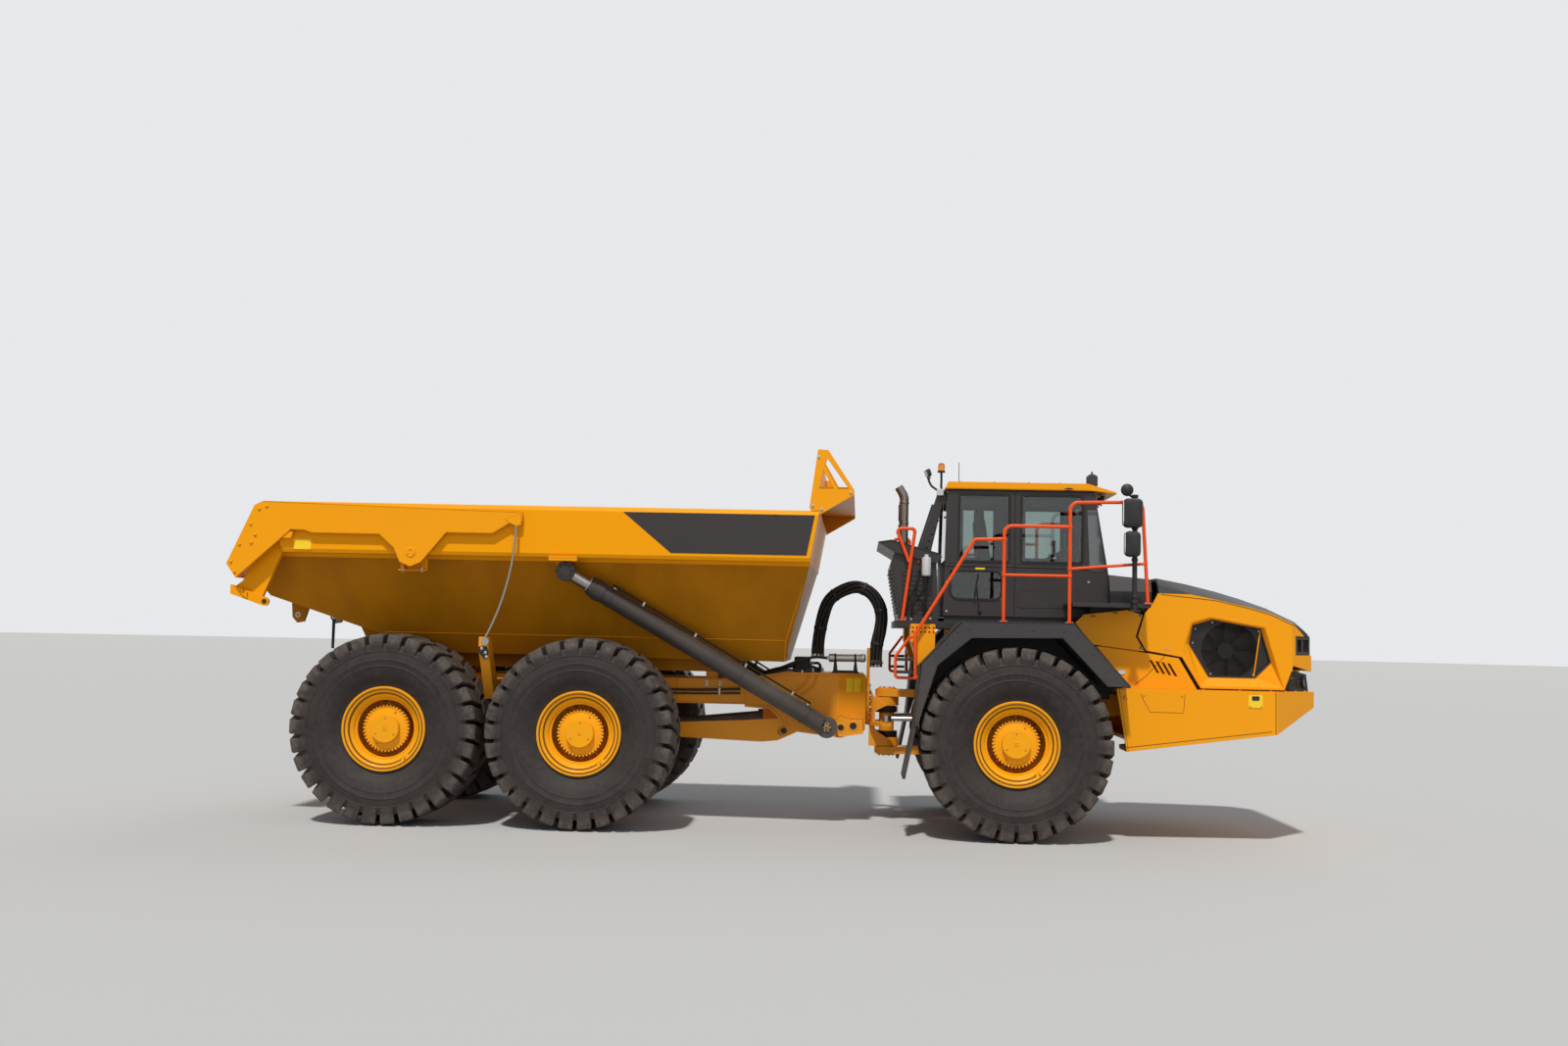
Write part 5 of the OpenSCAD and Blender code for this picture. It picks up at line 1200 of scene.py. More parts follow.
roof.plate(rounded(oblong(-560, 300, -300, 300), 60), 4044, 4058, 4, 8, PLAN)
for k in range(9):
    x = -480 + k * 85
    roof.plate(rounded(oblong(x, x + 34, -220, 220), 14, 3), 4057, 4063, 0, 3, PLAN)
stalk = flowing([(-752, -700, 3890), (-790, -720, 3930), (-812, -726, 3990), (-812, -726, 4090), (-814, -726, 4170)],
                6)
roof.tube(stalk, 14, 0, 8)
roof.turned([(46, 0), (46, 16), (40, 22), (40, 20)], (-814, -726, 4168), (0, 0, 1), 0, 20)
roof.turned([(40, 20), (42, 60), (38, 96), (26, 110), (0, 114)], (-814, -726, 4168), (0, 0, 1), 3, 24)
roof.tube(flowing([(-760, -640, 3880), (-850, -660, 3960), (-930, -668, 4020), (-972, -668, 4120)], 6), 13, 0, 8)
work_lamp((-985, -668, 4160), (-1, -0.15, -0.35))
roof.plate(rounded(oblong(-868, -786, 3888, 3966), 12), -812, -764, 7, 6)
roof.made("roof_lamps_and_beacon", "tractor",
          [black_plastic, mirror_glass, lamp_lens, amber_lens, yellow_enamel, zinc, guard_grey, pale_plastic],
          "black_plastic")

# %% [markdown]
# The mirrors are rounded plastic heads on a round post. Each has a large flat glass, a smaller
# curved one below, a rim and an arm with clamps; a round front mirror looks down at the nose.

# %% Mirrors
for side, s in SIDES:
    mirror = Gather()
    post, near = s * 1733, s * 1756
    mirror.tube([(1280, post, 2556), (1280, post, 2600), (1280, post, 3820), (1280, post, 3829)], 27.5, 0, 20)
    for z in (2640, 2700, 3110, 3460, 3815):
        mirror.turned([(34, 0), (36, 4), (36, 30), (34, 34)], (1280, post, z), (0, 0, 1), 0, 20)
    mirror.plate([(1220, 2556), (1340, 2556), (1330, 2580), (1230, 2580)], s * 1706, s * 1760, 0, 4)
    for low_x, high_x, low_z, high_z, reach in ((1132, 1348, 3474, 3798, 128), (1152, 1328, 3154, 3438, 118)):
        outline = rounded(oblong(low_x, high_x, low_z, high_z), 62, 7)
        mirror.loft([[(*p, near) for p in inset(outline, 30)], [(*p, near + s * 12) for p in inset(outline, 8)],
                     [(*p, near + s * 40) for p in outline], [(*p, near + s * (reach - 34)) for p in outline],
                     [(*p, near + s * (reach - 10)) for p in inset(outline, 14)],
                     [(*p, near + s * reach) for p in inset(outline, 44)]], 0, FLANK)
        mirror.plate(rounded(oblong(near + s * 22, near + s * (reach - 20), low_z + 26, high_z - 26), 26, 5),
                     low_x - 1.5, low_x + 6, 1, 2, FACE)
        mirror.block((1262, 1298), (s * 1736, near + s * 6),
                     ((low_z + high_z) / 2 - 18, (low_z + high_z) / 2 + 18), 0, 6)
    mirror.turned([(70, 0), (69, 14), (58, 34), (30, 48), (0, 52)], (1190, s * 1745, 3900), (0, s, 0), 0, 28)
    mirror.turned([(70, 0), (66, -4), (60, -5), (0, -9)], (1190, s * 1745, 3900), (0, s, 0), 1, 28)
    mirror.tube(flowing([(1190, s * 1742, 3900), (1215, s * 1738, 3850), (1250, s * 1734, 3822),
                         (1280, s * 1733, 3818)], 5), 12, 0, 8)
    mirror.made(f"mirror_heads_{side}", "tractor", [black_plastic, mirror_glass], "black_plastic",
                ["mirrors"] if side == "left" else [])

# %% [markdown]
# The walkways and steps get raised grip dots, the mudguards a rolled lip with rivets, the rails
# their foot plates and clamps. Flat treads join the ladder's side bars, and two rows of ringed
# holes show beside the upper step, each hole a dark disc of painted shade.

# %% Walkways, mudguards and rail feet
grips = Gather()
for s in BOTH:
    for x in range(900 if s > 0 else 640, 1450, 45):
        for k in range(12):
            y = 925 + k * 60 + (30 if x % 90 > 40 else 0)
            if y < 1660:
                grips.turned([(15, 0), (13, 5), (9, 6)], (x, s * y, 2639.5), (0, 0, 1), 0, 8)
    for x in range(-590, 600, 62):
        for k in range(12):
            y = 1060 + k * 64 + (32 if (x // 62) % 2 else 0)
            if y < 1810:
                grips.turned([(12, 0), (10, 5), (7, 6)], (x, s * y, 2409.5), (0, 0, 1), 0, 8)
    edge = [(-1120, 1262), (-1060, 1930), (-619, 2404), (606, 2404), (1222, 1732)]
    grips.plate(ribbon(edge, 16), s * 1846, s * 1850, 0, 2)
    low_edge = [(-1096, 1262), (-886, 1920), (-513, 2232), (488, 2250), (980, 1732)]
    grips.plate(ribbon(low_edge, 14), s * 1838, s * 1849, 0, 2)
    for (x0, z0), (x1, z1) in zip(edge[1:-1], edge[2:]):
        for t in (0.08, 0.36, 0.64, 0.92):
            x, z = x0 + (x1 - x0) * t, z0 + (z1 - z0) * t - 60
            grips.turned([(11, 0), (11, 3), (7, 6), (0, 7)], (x - 10, s * 1849.5, z - 20), (0, s, 0), 0, 10)
    for i in range(7):
        z = 720 + i * 82
        x = -1222 + (z - 700) * 115 / 583
        if i > 4:
            grips.bolt((x, s * 1815, z), (0, s, 0), 18, 1)
        grips.plate(oblong(x - 8, x + 12, z, z + 30), s * 1120, s * 1812, 0, 3)
    for x, y, z in ((578, 1655, 2411), (-150, 1655, 2411), (1440, 1655, 2641), (-1255, 975, 2411)):
        grips.plate(rounded(oblong(x - 45, x + 45, s * y - 45, s * y + 45), 12, 3), z - 1, z + 9, 2, 2, PLAN)
        for a, b in ((-30, -30), (30, -30), (-30, 30), (30, 30)):
            grips.bolt((x + a, s * y + b, z + 8), (0, 0, 1), 13, 1)
    for x, z in ((578, 3484), (578, 3015), (578, 2935), (-150, 2935), (-150, 3335)):
        grips.turned([(24, 0), (27, 3), (27, 29), (24, 32)], (x, s * 1655, z - 16), (0, 0, 1), 2, 18)
    for z in (1815, 1955):
        for k in range(5):
            for m in (-34, 0, 34):
                grips.turned([(11, 0), (9, 4), (6, 5)], (-1300 + k * 36, s * (1655 + m), z + 29.5), (0, 0, 1), 0, 8)
    # Each hole is an orange ring around a dark disc of painted shade.
    for k in range(2):
        for i in range(6):
            at = (-1150 + i * 46, s * 1594.7, 2330 - k * 48)
            grips.turned([(13, 0), (13, 2.5), (9, 2.5), (9, -1)], at, (0, s, 0), 2, 12)
            grips.turned([(9, 0), (9, 1), (0, 1)], at, (0, s, 0), 3, 12)
grips.made("grip_and_rail_feet", "tractor", [guard_grey, zinc, rail_orange, seal_rubber], "dark_paint")

# %% [markdown]
# Behind the cab stand the exhaust with a curved heat shield and three clamps, the intake canopy
# with a rain lip and grille bars, a filter canister, and hoses that run down to the frame.

# %% Exhaust, intake and hoses behind the cab
STACK_X, STACK_Y = -1243, -600
rear_gear = Gather()
for z in (3345, 3560, 3800):
    rear_gear.turned([(52, 0), (58, 2), (58, 22), (52, 24)], (STACK_X, STACK_Y, z), (0, 0, 1), 0, 32)
    rear_gear.block((STACK_X - 6, STACK_X + 6), (-672, -652), (z + 2, z + 20), 1, 3)
arc = [math.radians(95 + 170 * k / 28) for k in range(29)]
shield = [(STACK_X + r * math.cos(a), STACK_Y + r * math.sin(a)) for r, angles in ((66, arc), (62, arc[::-1]))
          for a in angles]
for low, high in ((3375, 3550), (3590, 3790)):
    rear_gear.plate(shield, low, high, 0, 1, PLAN)
for s in BOTH:
    for z in range(2500, 3000, 56):
        rear_gear.plate(oblong(-1260, -905, z, z + 26), s * 900, s * 908, 2, 4)
    rear_gear.plate(ribbon([(-1285, 2430), (-1385, 3040)], 26), s * 898, s * 906, 2, 3)
    rear_gear.plate(ribbon([(-1546, 3318), (-1390, 3343), (-845, 3196)], 14), s * 948, s * 956, 3, 3)
    for t in range(7):
        a = Vector((-1075, 3222)).lerp(Vector((-800, 3880)), 0.12 + t * 0.12)
        rear_gear.turned([(15, 0), (15, 4), (9, 8), (0, 9)], (a.x + 62, s * 760, a.y - 20), (0, s, 0), 3, 10)
for k in range(12):
    z = 2500 + k * 44
    x = -1292 - (z - 2410) * 0.177
    rear_gear.block((x - 14, x + 4), (-780, 780), (z, z + 20), 2, 4)
rear_gear.turned([(0, 0), (40, 0), (52, 10), (54, 20), (54, 200), (50, 214), (26, 222), (24, 250), (0, 252)],
                 (-985, -1010, 2930), (0, 0, 1), 4, 28)
rear_gear.block((-1040, -930), (-960, -900), (2960, 3110), 3, 8)
rear_gear.turned([(17, 0), (17, 40), (8, 50), (0, 51)], (-1075, -975, 3070), (0, 0, 1), 5, 14)
for index, (start, end) in enumerate((((-985, -1010, 2935), (-1150, -930, 2430)),
                                      ((-1060, -940, 3000), (-1220, -940, 2440)),
                                      ((-960, -980, 2935), (-1010, -940, 2425)),
                                      ((-1100, -930, 2800), (-930, -935, 2440)))):
    a, b = Vector(start), Vector(end)
    rear_gear.tube(flowing([a, a.lerp(b, 0.3) + Vector((18 - 12 * index, -20, -16)), a.lerp(b, 0.7) +
                            Vector((-30 + 14 * index, -14, 10)), b], 7), 13 - index, 3, 8)
    rear_gear.turned([(19, 0), (19, 26), (15, 30)], b + Vector((0, 0, -14)), (0, 0, 1), 1, 8)
rear_gear.made("exhaust_shield_and_hoses", "tractor",
               [exhaust_steel, zinc, cab_brown_black, hose_rubber, pale_plastic, amber_lens], "dark_paint")

# %% [markdown]
# The dump body is mostly plain plate. What breaks it up in the photograph is the dark panel on
# the rail, a blank yellow label, the rest block under the tailgate's arm, the stop bracket below
# the pivot, a strap under the chute and weld beads along the folds.

# %% Dump body: panel, label, brackets and welds
RAIL_SIDE = 1790
body = Gather()
for s in BOTH:
    out = s * RAIL_SIDE
    body.plate([(-4418, 3552), (-3870, 3100), (-2352, 3100), (-2266, 3552)], out - s * 0.4, out + s * 2.2, 1, 0.6)
    body.plate(rounded(oblong(-8160, -7960, 3062, 3180), 8, 3), out, out + s * 2.5, 2, 0.6)
    body.plate([(-8282, 3186), (-8172, 3186), (-8150, 3264), (-8282, 3264)], out - s * 2, s * 1852, 0, 6)
    body.plate(rounded(oblong(-6955, -6640, 2844, 3034), 24), s * 1686, s * 1704, 0, 4)
    body.block((-6952, -6643), (s * 1700, s * 1786), (2844, 2858), 0, 4)
    for x in (-6905, -6690):
        body.bolt((x, s * 1752, 2845), (0, 0, -1), 28, 3)
        body.turned([(24, 0), (24, 10), (13, 10), (13, 30), (8, 34)], (x, s * 1752, 2857), (0, 0, 1), 3, 10)
        body.plate(oblong(x - 8, x + 8, 2856, 3030), s * 1704, s * 1740, 0, 3)
    body.tube([(-8745, s * 1741, 2582), (-8745, s * 1764, 2582), (-8745, s * 1764, 2545), (-8690, s * 1764, 2527),
               (-8690, s * 1764, 2562), (-8690, s * 1741, 2562)], 7, 0, 8)
    body.turned([(30, 0), (30, 3), (18, 3), (18, -2)], (-8491, s * 1739, 2465), (0, s, 0), 4, 20)
    body.plate(rounded([(-8060, 1940), (-8030, 1934), (-8026, 2350), (-8062, 2366)], 8, 3), s * 664, s * 674, 4, 2)
    body.turned([(26, 0), (26, 14), (18, 18)], (-8044, s * 660, 2310), (0, s, 0), 3, 14)
    body.turned([(34, 0), (34, 4), (14, 4), (14, 0)], (-8475, s * 699, 2330), (0, s, 0), 3, 18)
    for line in ([(-2318, 1478, 3034), (-8330, 1478, 3034)], [(-2600, 981, 2150), (-7330, 981, 2150)],
                 [(-2320, 1652, 3037), (-8290, 1652, 3037)]):
        body.tube([(x, s * y, z) for x, y, z in line], 6, 0, 6)
    body.tube([(-2618, s * 806, 1906), (-2600, s * 980, 2150), (-2320, s * 1490, 3028)], 6, 0, 6)
    for z in (3120, 3540):
        body.turned([(16, 0), (16, 3), (10, 5), (0, 6)], (-2700, s * 1792, z), (0, s, 0), 1, 12)
    body.plate(rounded(oblong(-5230, -4935, 3020, 3044), 8, 3), s * 1808, s * 1811, 0, 1)
    for x in (-5215, -4950):
        body.bolt((x, s * 1770, 3045), (0, 0, 1), 24, 3)
    for k in range(7):
        x = -2340 - k * 950
        body.turned([(13, 0), (13, 4), (8, 6)], (x, s * 1700, 3604), (0, 0, 1), 0, 10)
for y in (-700, 0, 700):
    body.tube([(-2622, y, 1950), (-2318, y, 3030), (-2219, y, 3590)], 5, 0, 6)
body.tube([(-2317, -1470, 3032), (-2317, 1470, 3032)], 6, 0, 6)
body.made("body_panels_and_welds", "dump_body", [yellow_enamel, cab_brown_black, label_yellow, zinc, seal_rubber],
          "yellow_paint")

# %% [markdown]
# The spill guard's side plates are stiffened by rims around their cut-outs, and four bolts hold
# each of them.

# %% Spill guard rims
guard = Gather()
for s in BOTH:
    for hole in ([(-2220, 3870), (-2180, 4060), (-2070, 3870)],
                 [(-2010, 3870), (-2160, 4130), (-2140, 4200), (-1900, 3870)]):
        guard.plate(ribbon(hole + hole[:1], 12), s * 1771, s * 1776, 0, 2)
    for x, z in ((-2290, 3660), (-2235, 4210), (-1870, 3815), (-2190, 3620)):
        guard.bolt((x, s * 1770, z), (0, s, 0), 24, 1)
guard.made("spill_guard_rims", "dump_body", [yellow_enamel, zinc], "yellow_paint")

# %% [markdown]
# The tailgate's arms show eight round-headed bolts at the rear edge, the pivot's cover with its
# three screws, and a thin plate for the rope's pin at the front tip. The rear sheet, which the
# photograph does not show, gets five stiffeners, an upper edge and two reflectors.

# %% Tailgate ribs, bolts, pivot covers and rope plates
GATE_SIDE = 1865
gate = Gather()
for s in BOTH:
    out = s * GATE_SIDE
    for x, z in ((-8462, 3540), (-8547, 3506), (-8637, 3332), (-8581, 3213), (-8621, 3121), (-8754, 3102),
                 (-8848, 2905), (-8800, 2790)):
        gate.turned([(21, 0), (21, 3), (16, 4), (16, 10), (11, 16), (0, 18)], (x, out, z), (0, s, 0), 0, 16)
    gate.turned([(58, 0), (58, 5), (52, 9), (30, 9), (28, 6), (0, 6)], (-6797, out, 3049), (0, s, 0), 0, 32)
    gate.bolt_ring((-6797, out + s * 7, 3049), (0, s, 0), 34, 3, 15, 0, 8, 0.75)
    gate.plate([(-5735, 3440), (-5560, 3508), (-5552, 3380), (-5600, 3366), (-5690, 3400)], out, out + s * 4, 0, 2)
    for line in ([(-8500, 3592), (-5560, 3518)], [(-8180, 3284), (-8020, 3284), (-7939, 3252), (-7165, 3251)],
                 [(-6400, 3283), (-5880, 3283), (-5690, 3402)]):
        gate.plate(ribbon(line, 5), out, out + s * 1.5, 0, 0.5)
for y in (-1240, -620, 0, 620, 1240):
    gate.plate([(-8856, 2964), (-8882, 2958), (-8636, 3514), (-8612, 3520)], y - 26, y + 26, 0, 4)
gate.plate([(-8640, 3508), (-8622, 3546), (-8606, 3550), (-8600, 3500)], -1790, 1790, 0, 4)
for s in BOTH:
    gate.plate([(-8852, 3010), (-8862, 3006), (-8838, 3056), (-8830, 3060)], s * 1420, s * 1640, 2, 2)
gate.made("tailgate_ribs_and_bolts", "tailgate", [yellow_enamel, zinc, red_lens], "yellow_paint")

# %% [markdown]
# Each hoist cylinder gets what a real one has: a bolted gland ring, weld rings, a pipe along its
# upper side with clamps and ports, and a bolted cap over the lower ball. The steering cylinders
# get a ring at the gland, two ports and a hose.

# %% Hoist and steering cylinders
for side, s in SIDES:
    low, high = Vector((-2110, s * 700, 1146)), Vector((-5080, s * 1580, 2880))
    axis = (high - low).normalized()
    up = (Vector((0, 0, 1)) - axis * axis.z).normalized()
    across = axis.cross(up)
    hoist = Gather()

    def along(distance, lift=0.0, sideways=0.0):
        return low + axis * distance + up * lift + across * sideways

    hoist.turned([(110, 0), (118, 3), (118, 22), (110, 26)], along(300), axis, 0, 40)
    hoist.turned([(110, 0), (115, 2), (115, 14), (110, 17)], along(1210), axis, 0, 40)
    hoist.turned([(76.5, -30), (92, -28), (104, -12), (104, 0)], along(3268), axis, 1, 40)
    hoist.turned([(110, 0), (116, 2), (116, 10), (110, 12)], along(2960), axis, 0, 40)
    for k in range(12):
        a = 2 * math.pi * k / 12
        hoist.bolt(along(3228, 97 * math.cos(a), 97 * math.sin(a)), axis, 17, 0)
    hoist.tube(flowing([along(330, 104), along(345, 138), along(420, 142), along(1600, 142), along(2890, 142),
                        along(2960, 138), along(2976, 104)], 4), 12, 2, 8)
    for d in (560, 1210, 1900, 2600):
        hoist.plate(rounded(oblong(-20, 20, -24, 40), 10, 3), -14, 14, 1, 3,
                    BASE @ Matrix.Translation(along(d, 120)) @ Matrix((across, up, axis)).transposed().to_4x4())
    hoist.turned([(26, 0), (26, 22), (18, 26)], along(330, 100), up, 1, 8)
    hoist.turned([(26, 0), (26, 22), (18, 26)], along(2972, 100), up, 1, 8)
    hoist.turned([(60, 0), (60, 8), (50, 14), (20, 14), (16, 20), (0, 20)],
                 low + Vector((0, s * 61, 0)), (0, s, 0), 0, 32)
    hoist.bolt_ring(low + Vector((0, s * 72, 0)), (0, s, 0), 44, 6, 15, 1)
    cover = Gather()
    cover.turned([(106, -90), (112, -86), (112, 12), (106, 18), (70, 18), (66, 26), (0, 27)],
                 (high.x, s * 1628, high.z), (0, s, 0), 0, 36)
    cover.bolt_ring((high.x, s * 1645, high.z), (0, s, 0), 88, 8, 18)
    cover.made(f"hoist_eye_cover_{side}", f"hoist_rod_{side}", [barrel_charcoal], "charcoal_paint")
    hoist.made(f"hoist_fittings_{side}", f"hoist_barrel_{side}",
               [barrel_charcoal, zinc, hose_rubber], "charcoal_paint")

    base, eye = Vector((-330, s * 440, 1250)), Vector((-1400, s * 380, 1250))
    axis = (eye - base).normalized()
    up = Vector((0, 0, 1))
    steer = Gather()
    steer.turned([(62, 0), (69, 2), (69, 40), (64, 44)], base + axis * 648, axis, 0, 32)
    for d in (180, 630):
        steer.turned([(17, 56), (17, 84), (12, 88)], base + axis * d, up, 1, 8)
    steer.tube(flowing([base + axis * 630 + up * 82, base + axis * 600 + up * 96, base + axis * 400 + up * 98,
                        base + axis * 230 + up * 104, base + axis * 200 + up * 130], 5), 9, 2, 8)
    steer.made(f"steering_fittings_{side}", f"steer_barrel_{side}", [casting_charcoal, zinc, hose_rubber],
               "charcoal_paint")

# %% [markdown]
# The rear frame carries pipes and blank yellow plates on its nose, bolts on its pads, the dark
# foot plate of the rope, a hydraulic accumulator with hoses above the hitch, and at the very back
# the tail lamps on their plates, with a red reflector under each. Dark discs inside rings on the
# frame's plates are painted shade in their holes.

# %% Rear frame fittings
rear = Gather()


def nose_y(x):
    """Half width of the frame's nose, which widens over 325 mm."""
    return 330 + min(1.0, max(0.0, (-1655 - x) / 325)) * 120


def on_nose(corners, low, high, skin, s):
    """A thin plate on the frame's slanting nose."""
    rear.loft([[(x, s * (nose_y(x) + w), z) for x, z in one] for one, w in
                 ((corners, low), (corners, high - 0.8), (inset(corners, 1.2), high))], skin)


for s in BOTH:
    for x0, x1 in ((-1888, -1808), (-1796, -1716)):
        on_nose(rounded(oblong(x0, x1, 1556, 1716), 8, 3), 0, 3, 1, s)
    on_nose(oblong(-1990, -1700, 1745, 1772), -1, 16, 0, s)
    rear.plate([(-3098, 1672), (-2622, 1746), (-1990, 1746), (-1990, 1772), (-2618, 1772), (-3098, 1697)],
               s * 449, s * 466, 0, 3)
    rear.plate([(-3098, 1352), (-2800, 1332), (-2565, 1086), (-2545, 1106), (-2790, 1358), (-3098, 1378)],
               s * 449, s * 462, 0, 3)
    # Dark discs of painted shade fill the holes in the frame's plates, here and in the foot plates below.
    rear.turned([(38, 0), (38, 3), (30, 4), (30, 0.5), (0, 0.5)],
                (-1966, s * (nose_y(-1966) - 1), 1165), (0, s, 0), 4, 24)
    rear.turned([(50, 0), (50, 9), (44, 12), (38, 12), (38, 6)], (-2625, s * 445, 1078), (0, s, 0), 0, 28)
    rear.turned([(39, 5), (39, 8), (0, 8)], (-2625, s * 445, 1078), (0, s, 0), 4, 28)
    rear.plate([(-2012, 1225), (-1958, 1290), (-1841, 1250), (-1690, 1250), (-1680, 1072), (-1950, 1030),
                (-2016, 1064)], s * 360, s * 582, 0, 6)
    rear.turned([(52, 0), (50, 5), (37, 5), (37, 2)], (-1946, s * 581, 1138), (0, s, 0), 0, 28)
    rear.turned([(38, 1), (38, 3), (0, 3)], (-1946, s * 581, 1138), (0, s, 0), 4, 28)
    rear.turned([(58, 0), (56, 5), (42, 5), (42, 2)], (-1800, s * 581, 1160), (0, s, 0), 0, 28)
    rear.turned([(43, 1), (43, 3), (0, 3)], (-1800, s * 581, 1160), (0, s, 0), 4, 28)
    rear.tube(flowing([(-2560, s * 463, 1480), (-2480, s * 466, 1560), (-2380, s * 466, 1650),
                       (-2330, s * 463, 1735)], 6), 13, 0, 8)
    rear.tube(flowing([(-2480, s * 463, 1440), (-2400, s * 466, 1520), (-2290, s * 466, 1620),
                       (-2240, s * 463, 1735)], 6), 13, 0, 8)
    for x in (-3400, -3560, -4400, -4600, -5400, -5600, -6400, -6600):
        for z in (1640, 1600):
            rear.bolt((x, s * 470, z), (0, s, 0), 28, 3)
    for z in (1668, 1380):
        rear.plate(oblong(-7690, -3105, z, z + 12), s * 468, s * 486, 0, 3)
    for x in (-3900, -5000, -6200, -7100):
        rear.plate(oblong(x - 10, x + 10, 1392, 1668), s * 469, s * 484, 0, 3)
    rear.tube(flowing([(-3150, s * 494, 1560), (-3800, s * 496, 1540), (-4800, s * 496, 1548), (-5700, s * 496, 1540),
                       (-6900, s * 496, 1545)], 5), 15, 5, 8)
    rear.tube(flowing([(-3150, s * 492, 1510), (-3800, s * 496, 1496), (-4800, s * 496, 1504),
                       (-5700, s * 496, 1500)], 5), 11, 5, 8)
    for x in (-3400, -4200, -5100, -5700, -6500):
        rear.block((x - 16, x + 16), (s * 468, s * 514), (1480, 1574), 3, 5)
    rear.plate([(-5986, 2012), (-5890, 2012), (-5872, 1968), (-5872, 1876), (-5912, 1868), (-5986, 1950)],
               s * 1866, s * 1874, 4, 2)
    for x, z in ((-5948, 1990), (-5905, 1945), (-5893, 1898)):
        rear.bolt((x, s * 1873, z), (0, s, 0), 22, 3, 8)
    rear.turned([(112, 0), (112, 8), (100, 12), (60, 12), (56, 20), (0, 20)],
                (-5940, s * 780, 1110), (0, s, 0), 0, 36)
    rear.bolt_ring((-5940, s * 791, 1110), (0, s, 0), 82, 8, 22, 3, shift=0.5)
    rear.plate(rounded(oblong(s * 362, s * 648, 1440, 1600), 20, 4), -7722, -7700, 2, 4, FACE)
    for y, lens in ((412, 6), (507, 6), (600, 7)):
        rear.turned([(44, 0), (46, 10), (44, 18), (40, 18), (39, 12)], (-7720, s * y, 1520), (-1, 0, 0), 4, 26)
        rear.turned([(39, 10), (38, 20), (28, 25), (0, 27)], (-7720, s * y, 1520), (-1, 0, 0), lens, 26)
    rear.plate(oblong(s * 465, s * 545, 1395, 1430), -7724, -7700, 6, 3, FACE)
    rear.turned([(96, 0), (104, 4), (104, 16), (96, 20), (62, 20), (60, 30), (0, 31)],
                (-7500, s * 600, 1950), (0, s, 0), 3, 32)
    rear.bolt_ring((-7500, s * 619, 1950), (0, s, 0), 78, 6, 22, 3)
rear.turned([(0, 0), (36, 0), (50, 8), (50, 70), (45, 74), (45, 378), (50, 382), (50, 430), (34, 446), (0, 448)],
            (-2110, -300, 1953), (1, 0, 0.01), 3, 32)
rear.plate([(-2080, 1774), (-1735, 1774), (-1760, 1800), (-1775, 1912), (-1800, 1912), (-1812, 1806), (-2000, 1806),
            (-2015, 1912), (-2045, 1912), (-2055, 1800)], -330, -270, 4, 4)
for x in (-2030, -1790):
    rear.turned([(47, -12), (51, -10), (51, 10), (47, 12)], (x, -300, 1955), (1, 0, 0.01), 4, 32)
rear.block((-2528, -2340), (-180, 180), (1774, 1955), 4, 10)
for y in (-130, -45, 45, 130):
    rear.turned([(24, 0), (24, 26), (18, 30), (18, 46)], (-2342, y, 1880), (1, 0, 0), 3, 6)
    rear.tube(flowing([(-2300, y, 1880), (-2240, y * 1.1, 1878), (-2215, y * 1.3, 1836), (-2230, y * 1.5, 1780)], 5),
              15, 5, 8)
for index, (start, end, bow) in enumerate((
        ((-2115, -300, 1950), (-2900, -330, 1712), 60), ((-2300, -120, 1800), (-3050, -200, 1704), 70),
        ((-2270, -60, 1790), (-2960, -60, 1708), 90), ((-2230, 60, 1790), (-2900, 90, 1712), 80),
        ((-2200, 140, 1800), (-3000, 210, 1706), 70), ((-2420, -380, 1778), (-2980, -395, 1706), 40))):
    a, b = Vector(start), Vector(end)
    rear.tube(flowing([a, a.lerp(b, 0.25) + Vector((0, 14, bow)), a.lerp(b, 0.6) + Vector((0, -10, bow * 0.9)), b],
                      7), 17 - index % 3 * 2, 5, 8)
    rear.turned([(25, 0), (25, 30), (19, 34), (19, 44)], a + Vector((0, 0, -22)), (0, 0, 1), 3, 6)
for x, y in ((-2350, -380), (-2520, 300), (-2250, -90), (-2250, 60)):
    rear.block((x - 46, x + 46), (y - 34, y + 34), (1774, 1830), 3 if y > 0 else 4, 7)
rear.made("rear_frame_fittings", "trailer",
          [frame_yellow, label_yellow, guard_grey, zinc, seal_rubber, hose_rubber, red_lens, amber_lens],
          "yellow_paint")

# %% [markdown]
# The hoses that cross the hitch are one bundle of nine, laid around a common curve and tied with
# straps. It takes the place of the single thick hose in the CAD model, inside the same outline.

# %% Hose bundle over the hitch
bundle = Gather()
centre = flowing([(-1541, 0, 1850), (-1541, 0, 1990), (-1530, 0, 2130), (-1494, 0, 2300), (-1480, 0, 2460),
                  (-1515, 0, 2610), (-1620, 0, 2752), (-1790, 0, 2820), (-1975, 0, 2765), (-2120, 0, 2650),
                  (-2190, 0, 2470), (-2235, 0, 2230), (-2249, 0, 2080), (-2250, 0, 1960)], 6)
for k in range(9):
    path = []
    for i, here in enumerate(centre):
        way = (centre[min(i + 1, len(centre) - 1)] - centre[max(i - 1, 0)]).normalized()
        aside = Vector((0, 1, 0))
        out = way.cross(aside)
        a = math.radians(45 * k + 16 * math.sin(i * 0.21))
        path.append(here if k == 8 else here + (aside * math.cos(a) + out * math.sin(a)) * 57)
    bundle.tube(path, 34 if k == 8 else 21.5, 0, 10)
    if k < 8:
        bundle.turned([(24, 0), (24, 34), (22, 38)], path[0] - Vector((0, 0, 2)), (0, 0, 1), 1, 6)
        bundle.turned([(24, 0), (24, 34), (22, 38)], path[-1] - Vector((0, 0, 2)), (0, 0, 1), 1, 6)
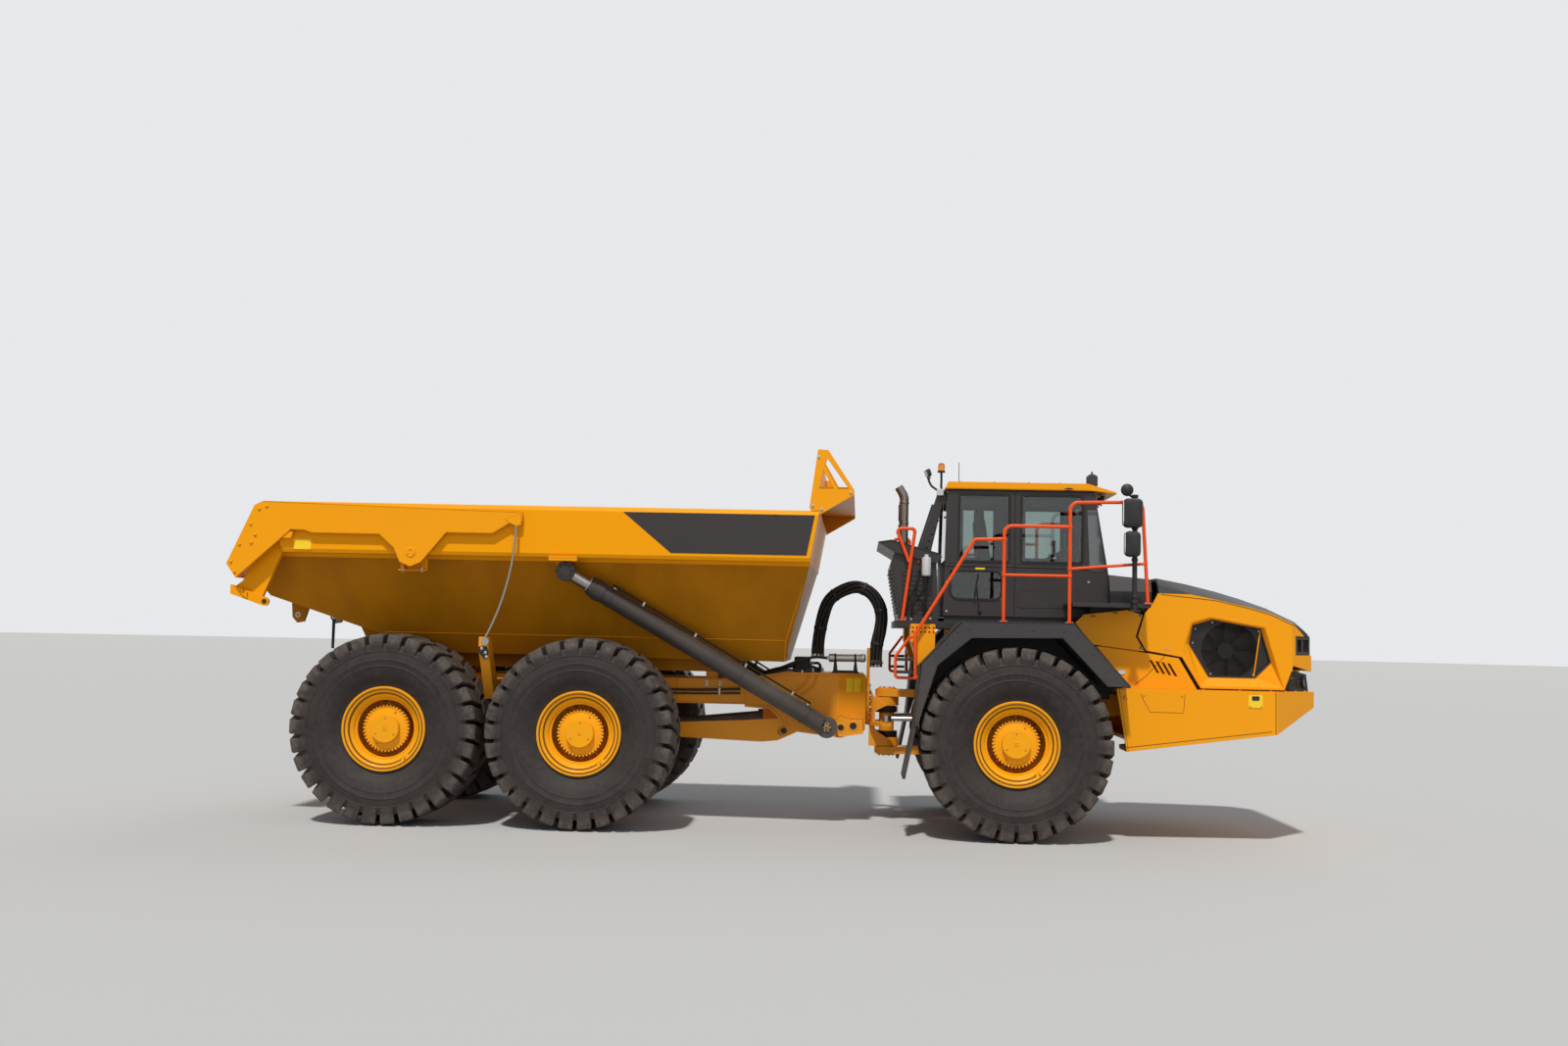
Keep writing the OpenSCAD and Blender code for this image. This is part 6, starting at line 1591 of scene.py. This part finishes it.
for share in (0.16, 0.34, 0.5, 0.66, 0.82):
    i = round(share * (len(centre) - 1))
    way = (centre[i + 1] - centre[i - 1]).normalized()
    bundle.turned([(78, -16), (81, -13), (81, 13), (78, 16)], centre[i], way, 2, 32)
bundle.block((-1612, -1458), (-100, 100), (1884, 1930), 2, 8)
for y in (-86, 86):
    bundle.bolt((-1459, y, 1907), (1, 0, 0), 18, 1)
bundle.made("hitch_hose_bundle", "hitch", [hose_rubber, zinc, black_plastic], "hose_rubber", ["hose_arch"])

# %% [markdown]
# Rings of bolts hold the roll bearing and the covers of the steering pins, and rubber bellows
# close the pivot. Pipes with clamps and rows of bolts follow the front frame.

# %% Bolt rings, bellows and pipes at the hitch and the front frame
STEER_PIN_X, ROLL_AXIS_Z = -1400, 1440
hitch = Gather()
for k in range(24):
    a = 2 * math.pi * k / 24
    y, z = 262 * math.cos(a), ROLL_AXIS_Z + 262 * math.sin(a)
    hitch.bolt((-1650, y, z), (-1, 0, 0), 22, 0, 5)
    if abs(math.cos(a)) > 0.6:
        hitch.bolt((-1609.5, y, z), (1, 0, 0), 24, 0)
for z in (1012, 1306):
    ridges = [(120, 0)]
    for k in range(5):
        ridges += [(143, 8 + k * 15), (122, 15 + k * 15)]
    hitch.turned(ridges + [(110, 76)], (STEER_PIN_X, 0, z), (0, 0, 1), 1, 40)
hitch.made("roll_bearing_bolts_and_gaiters", "hitch", [zinc, seal_rubber], "yellow_paint")
pins = Gather()
for z, way in ((1587, 1), (815, -1)):
    pins.turned([(118, 0), (118, 10), (108, 16), (60, 16), (56, 24), (0, 25)], (STEER_PIN_X, 0, z),
                (0, 0, way), 0, 36)
    pins.bolt_ring((STEER_PIN_X, 0, z + way * 15), (0, 0, way), 88, 8, 22, 1, shift=0.5)
for s in BOTH:
    pins.turned([(90, 0), (92, 4), (92, 30), (86, 34)], (0, s * 560, 1500), (0, 0, 1), 0, 28)
    for x in (-560, -100, 420):
        for step in (0, 60):
            pins.bolt((x + step, s * 300, 1560), (0, s, 0), 26, 1)
    pins.tube(flowing([(-980, s * 318, 1500), (-700, s * 320, 1470), (-300, s * 320, 1480), (200, s * 320, 1470),
                       (700, s * 318, 1500)], 6), 14, 2, 8)
    pins.tube(flowing([(-980, s * 318, 1440), (-700, s * 320, 1425), (-300, s * 320, 1432), (200, s * 320, 1425)], 6),
              10, 2, 8)
    for x in (-820, -380, 120, 560):
        pins.block((x - 14, x + 14), (s * 299, s * 338), (1412, 1512), 1, 4)
pins.made("front_frame_fittings", "tractor", [frame_yellow, zinc, hose_rubber], "yellow_paint")
print("triangles in all", sum(total_triangles))

# %% Done
print("scene built")
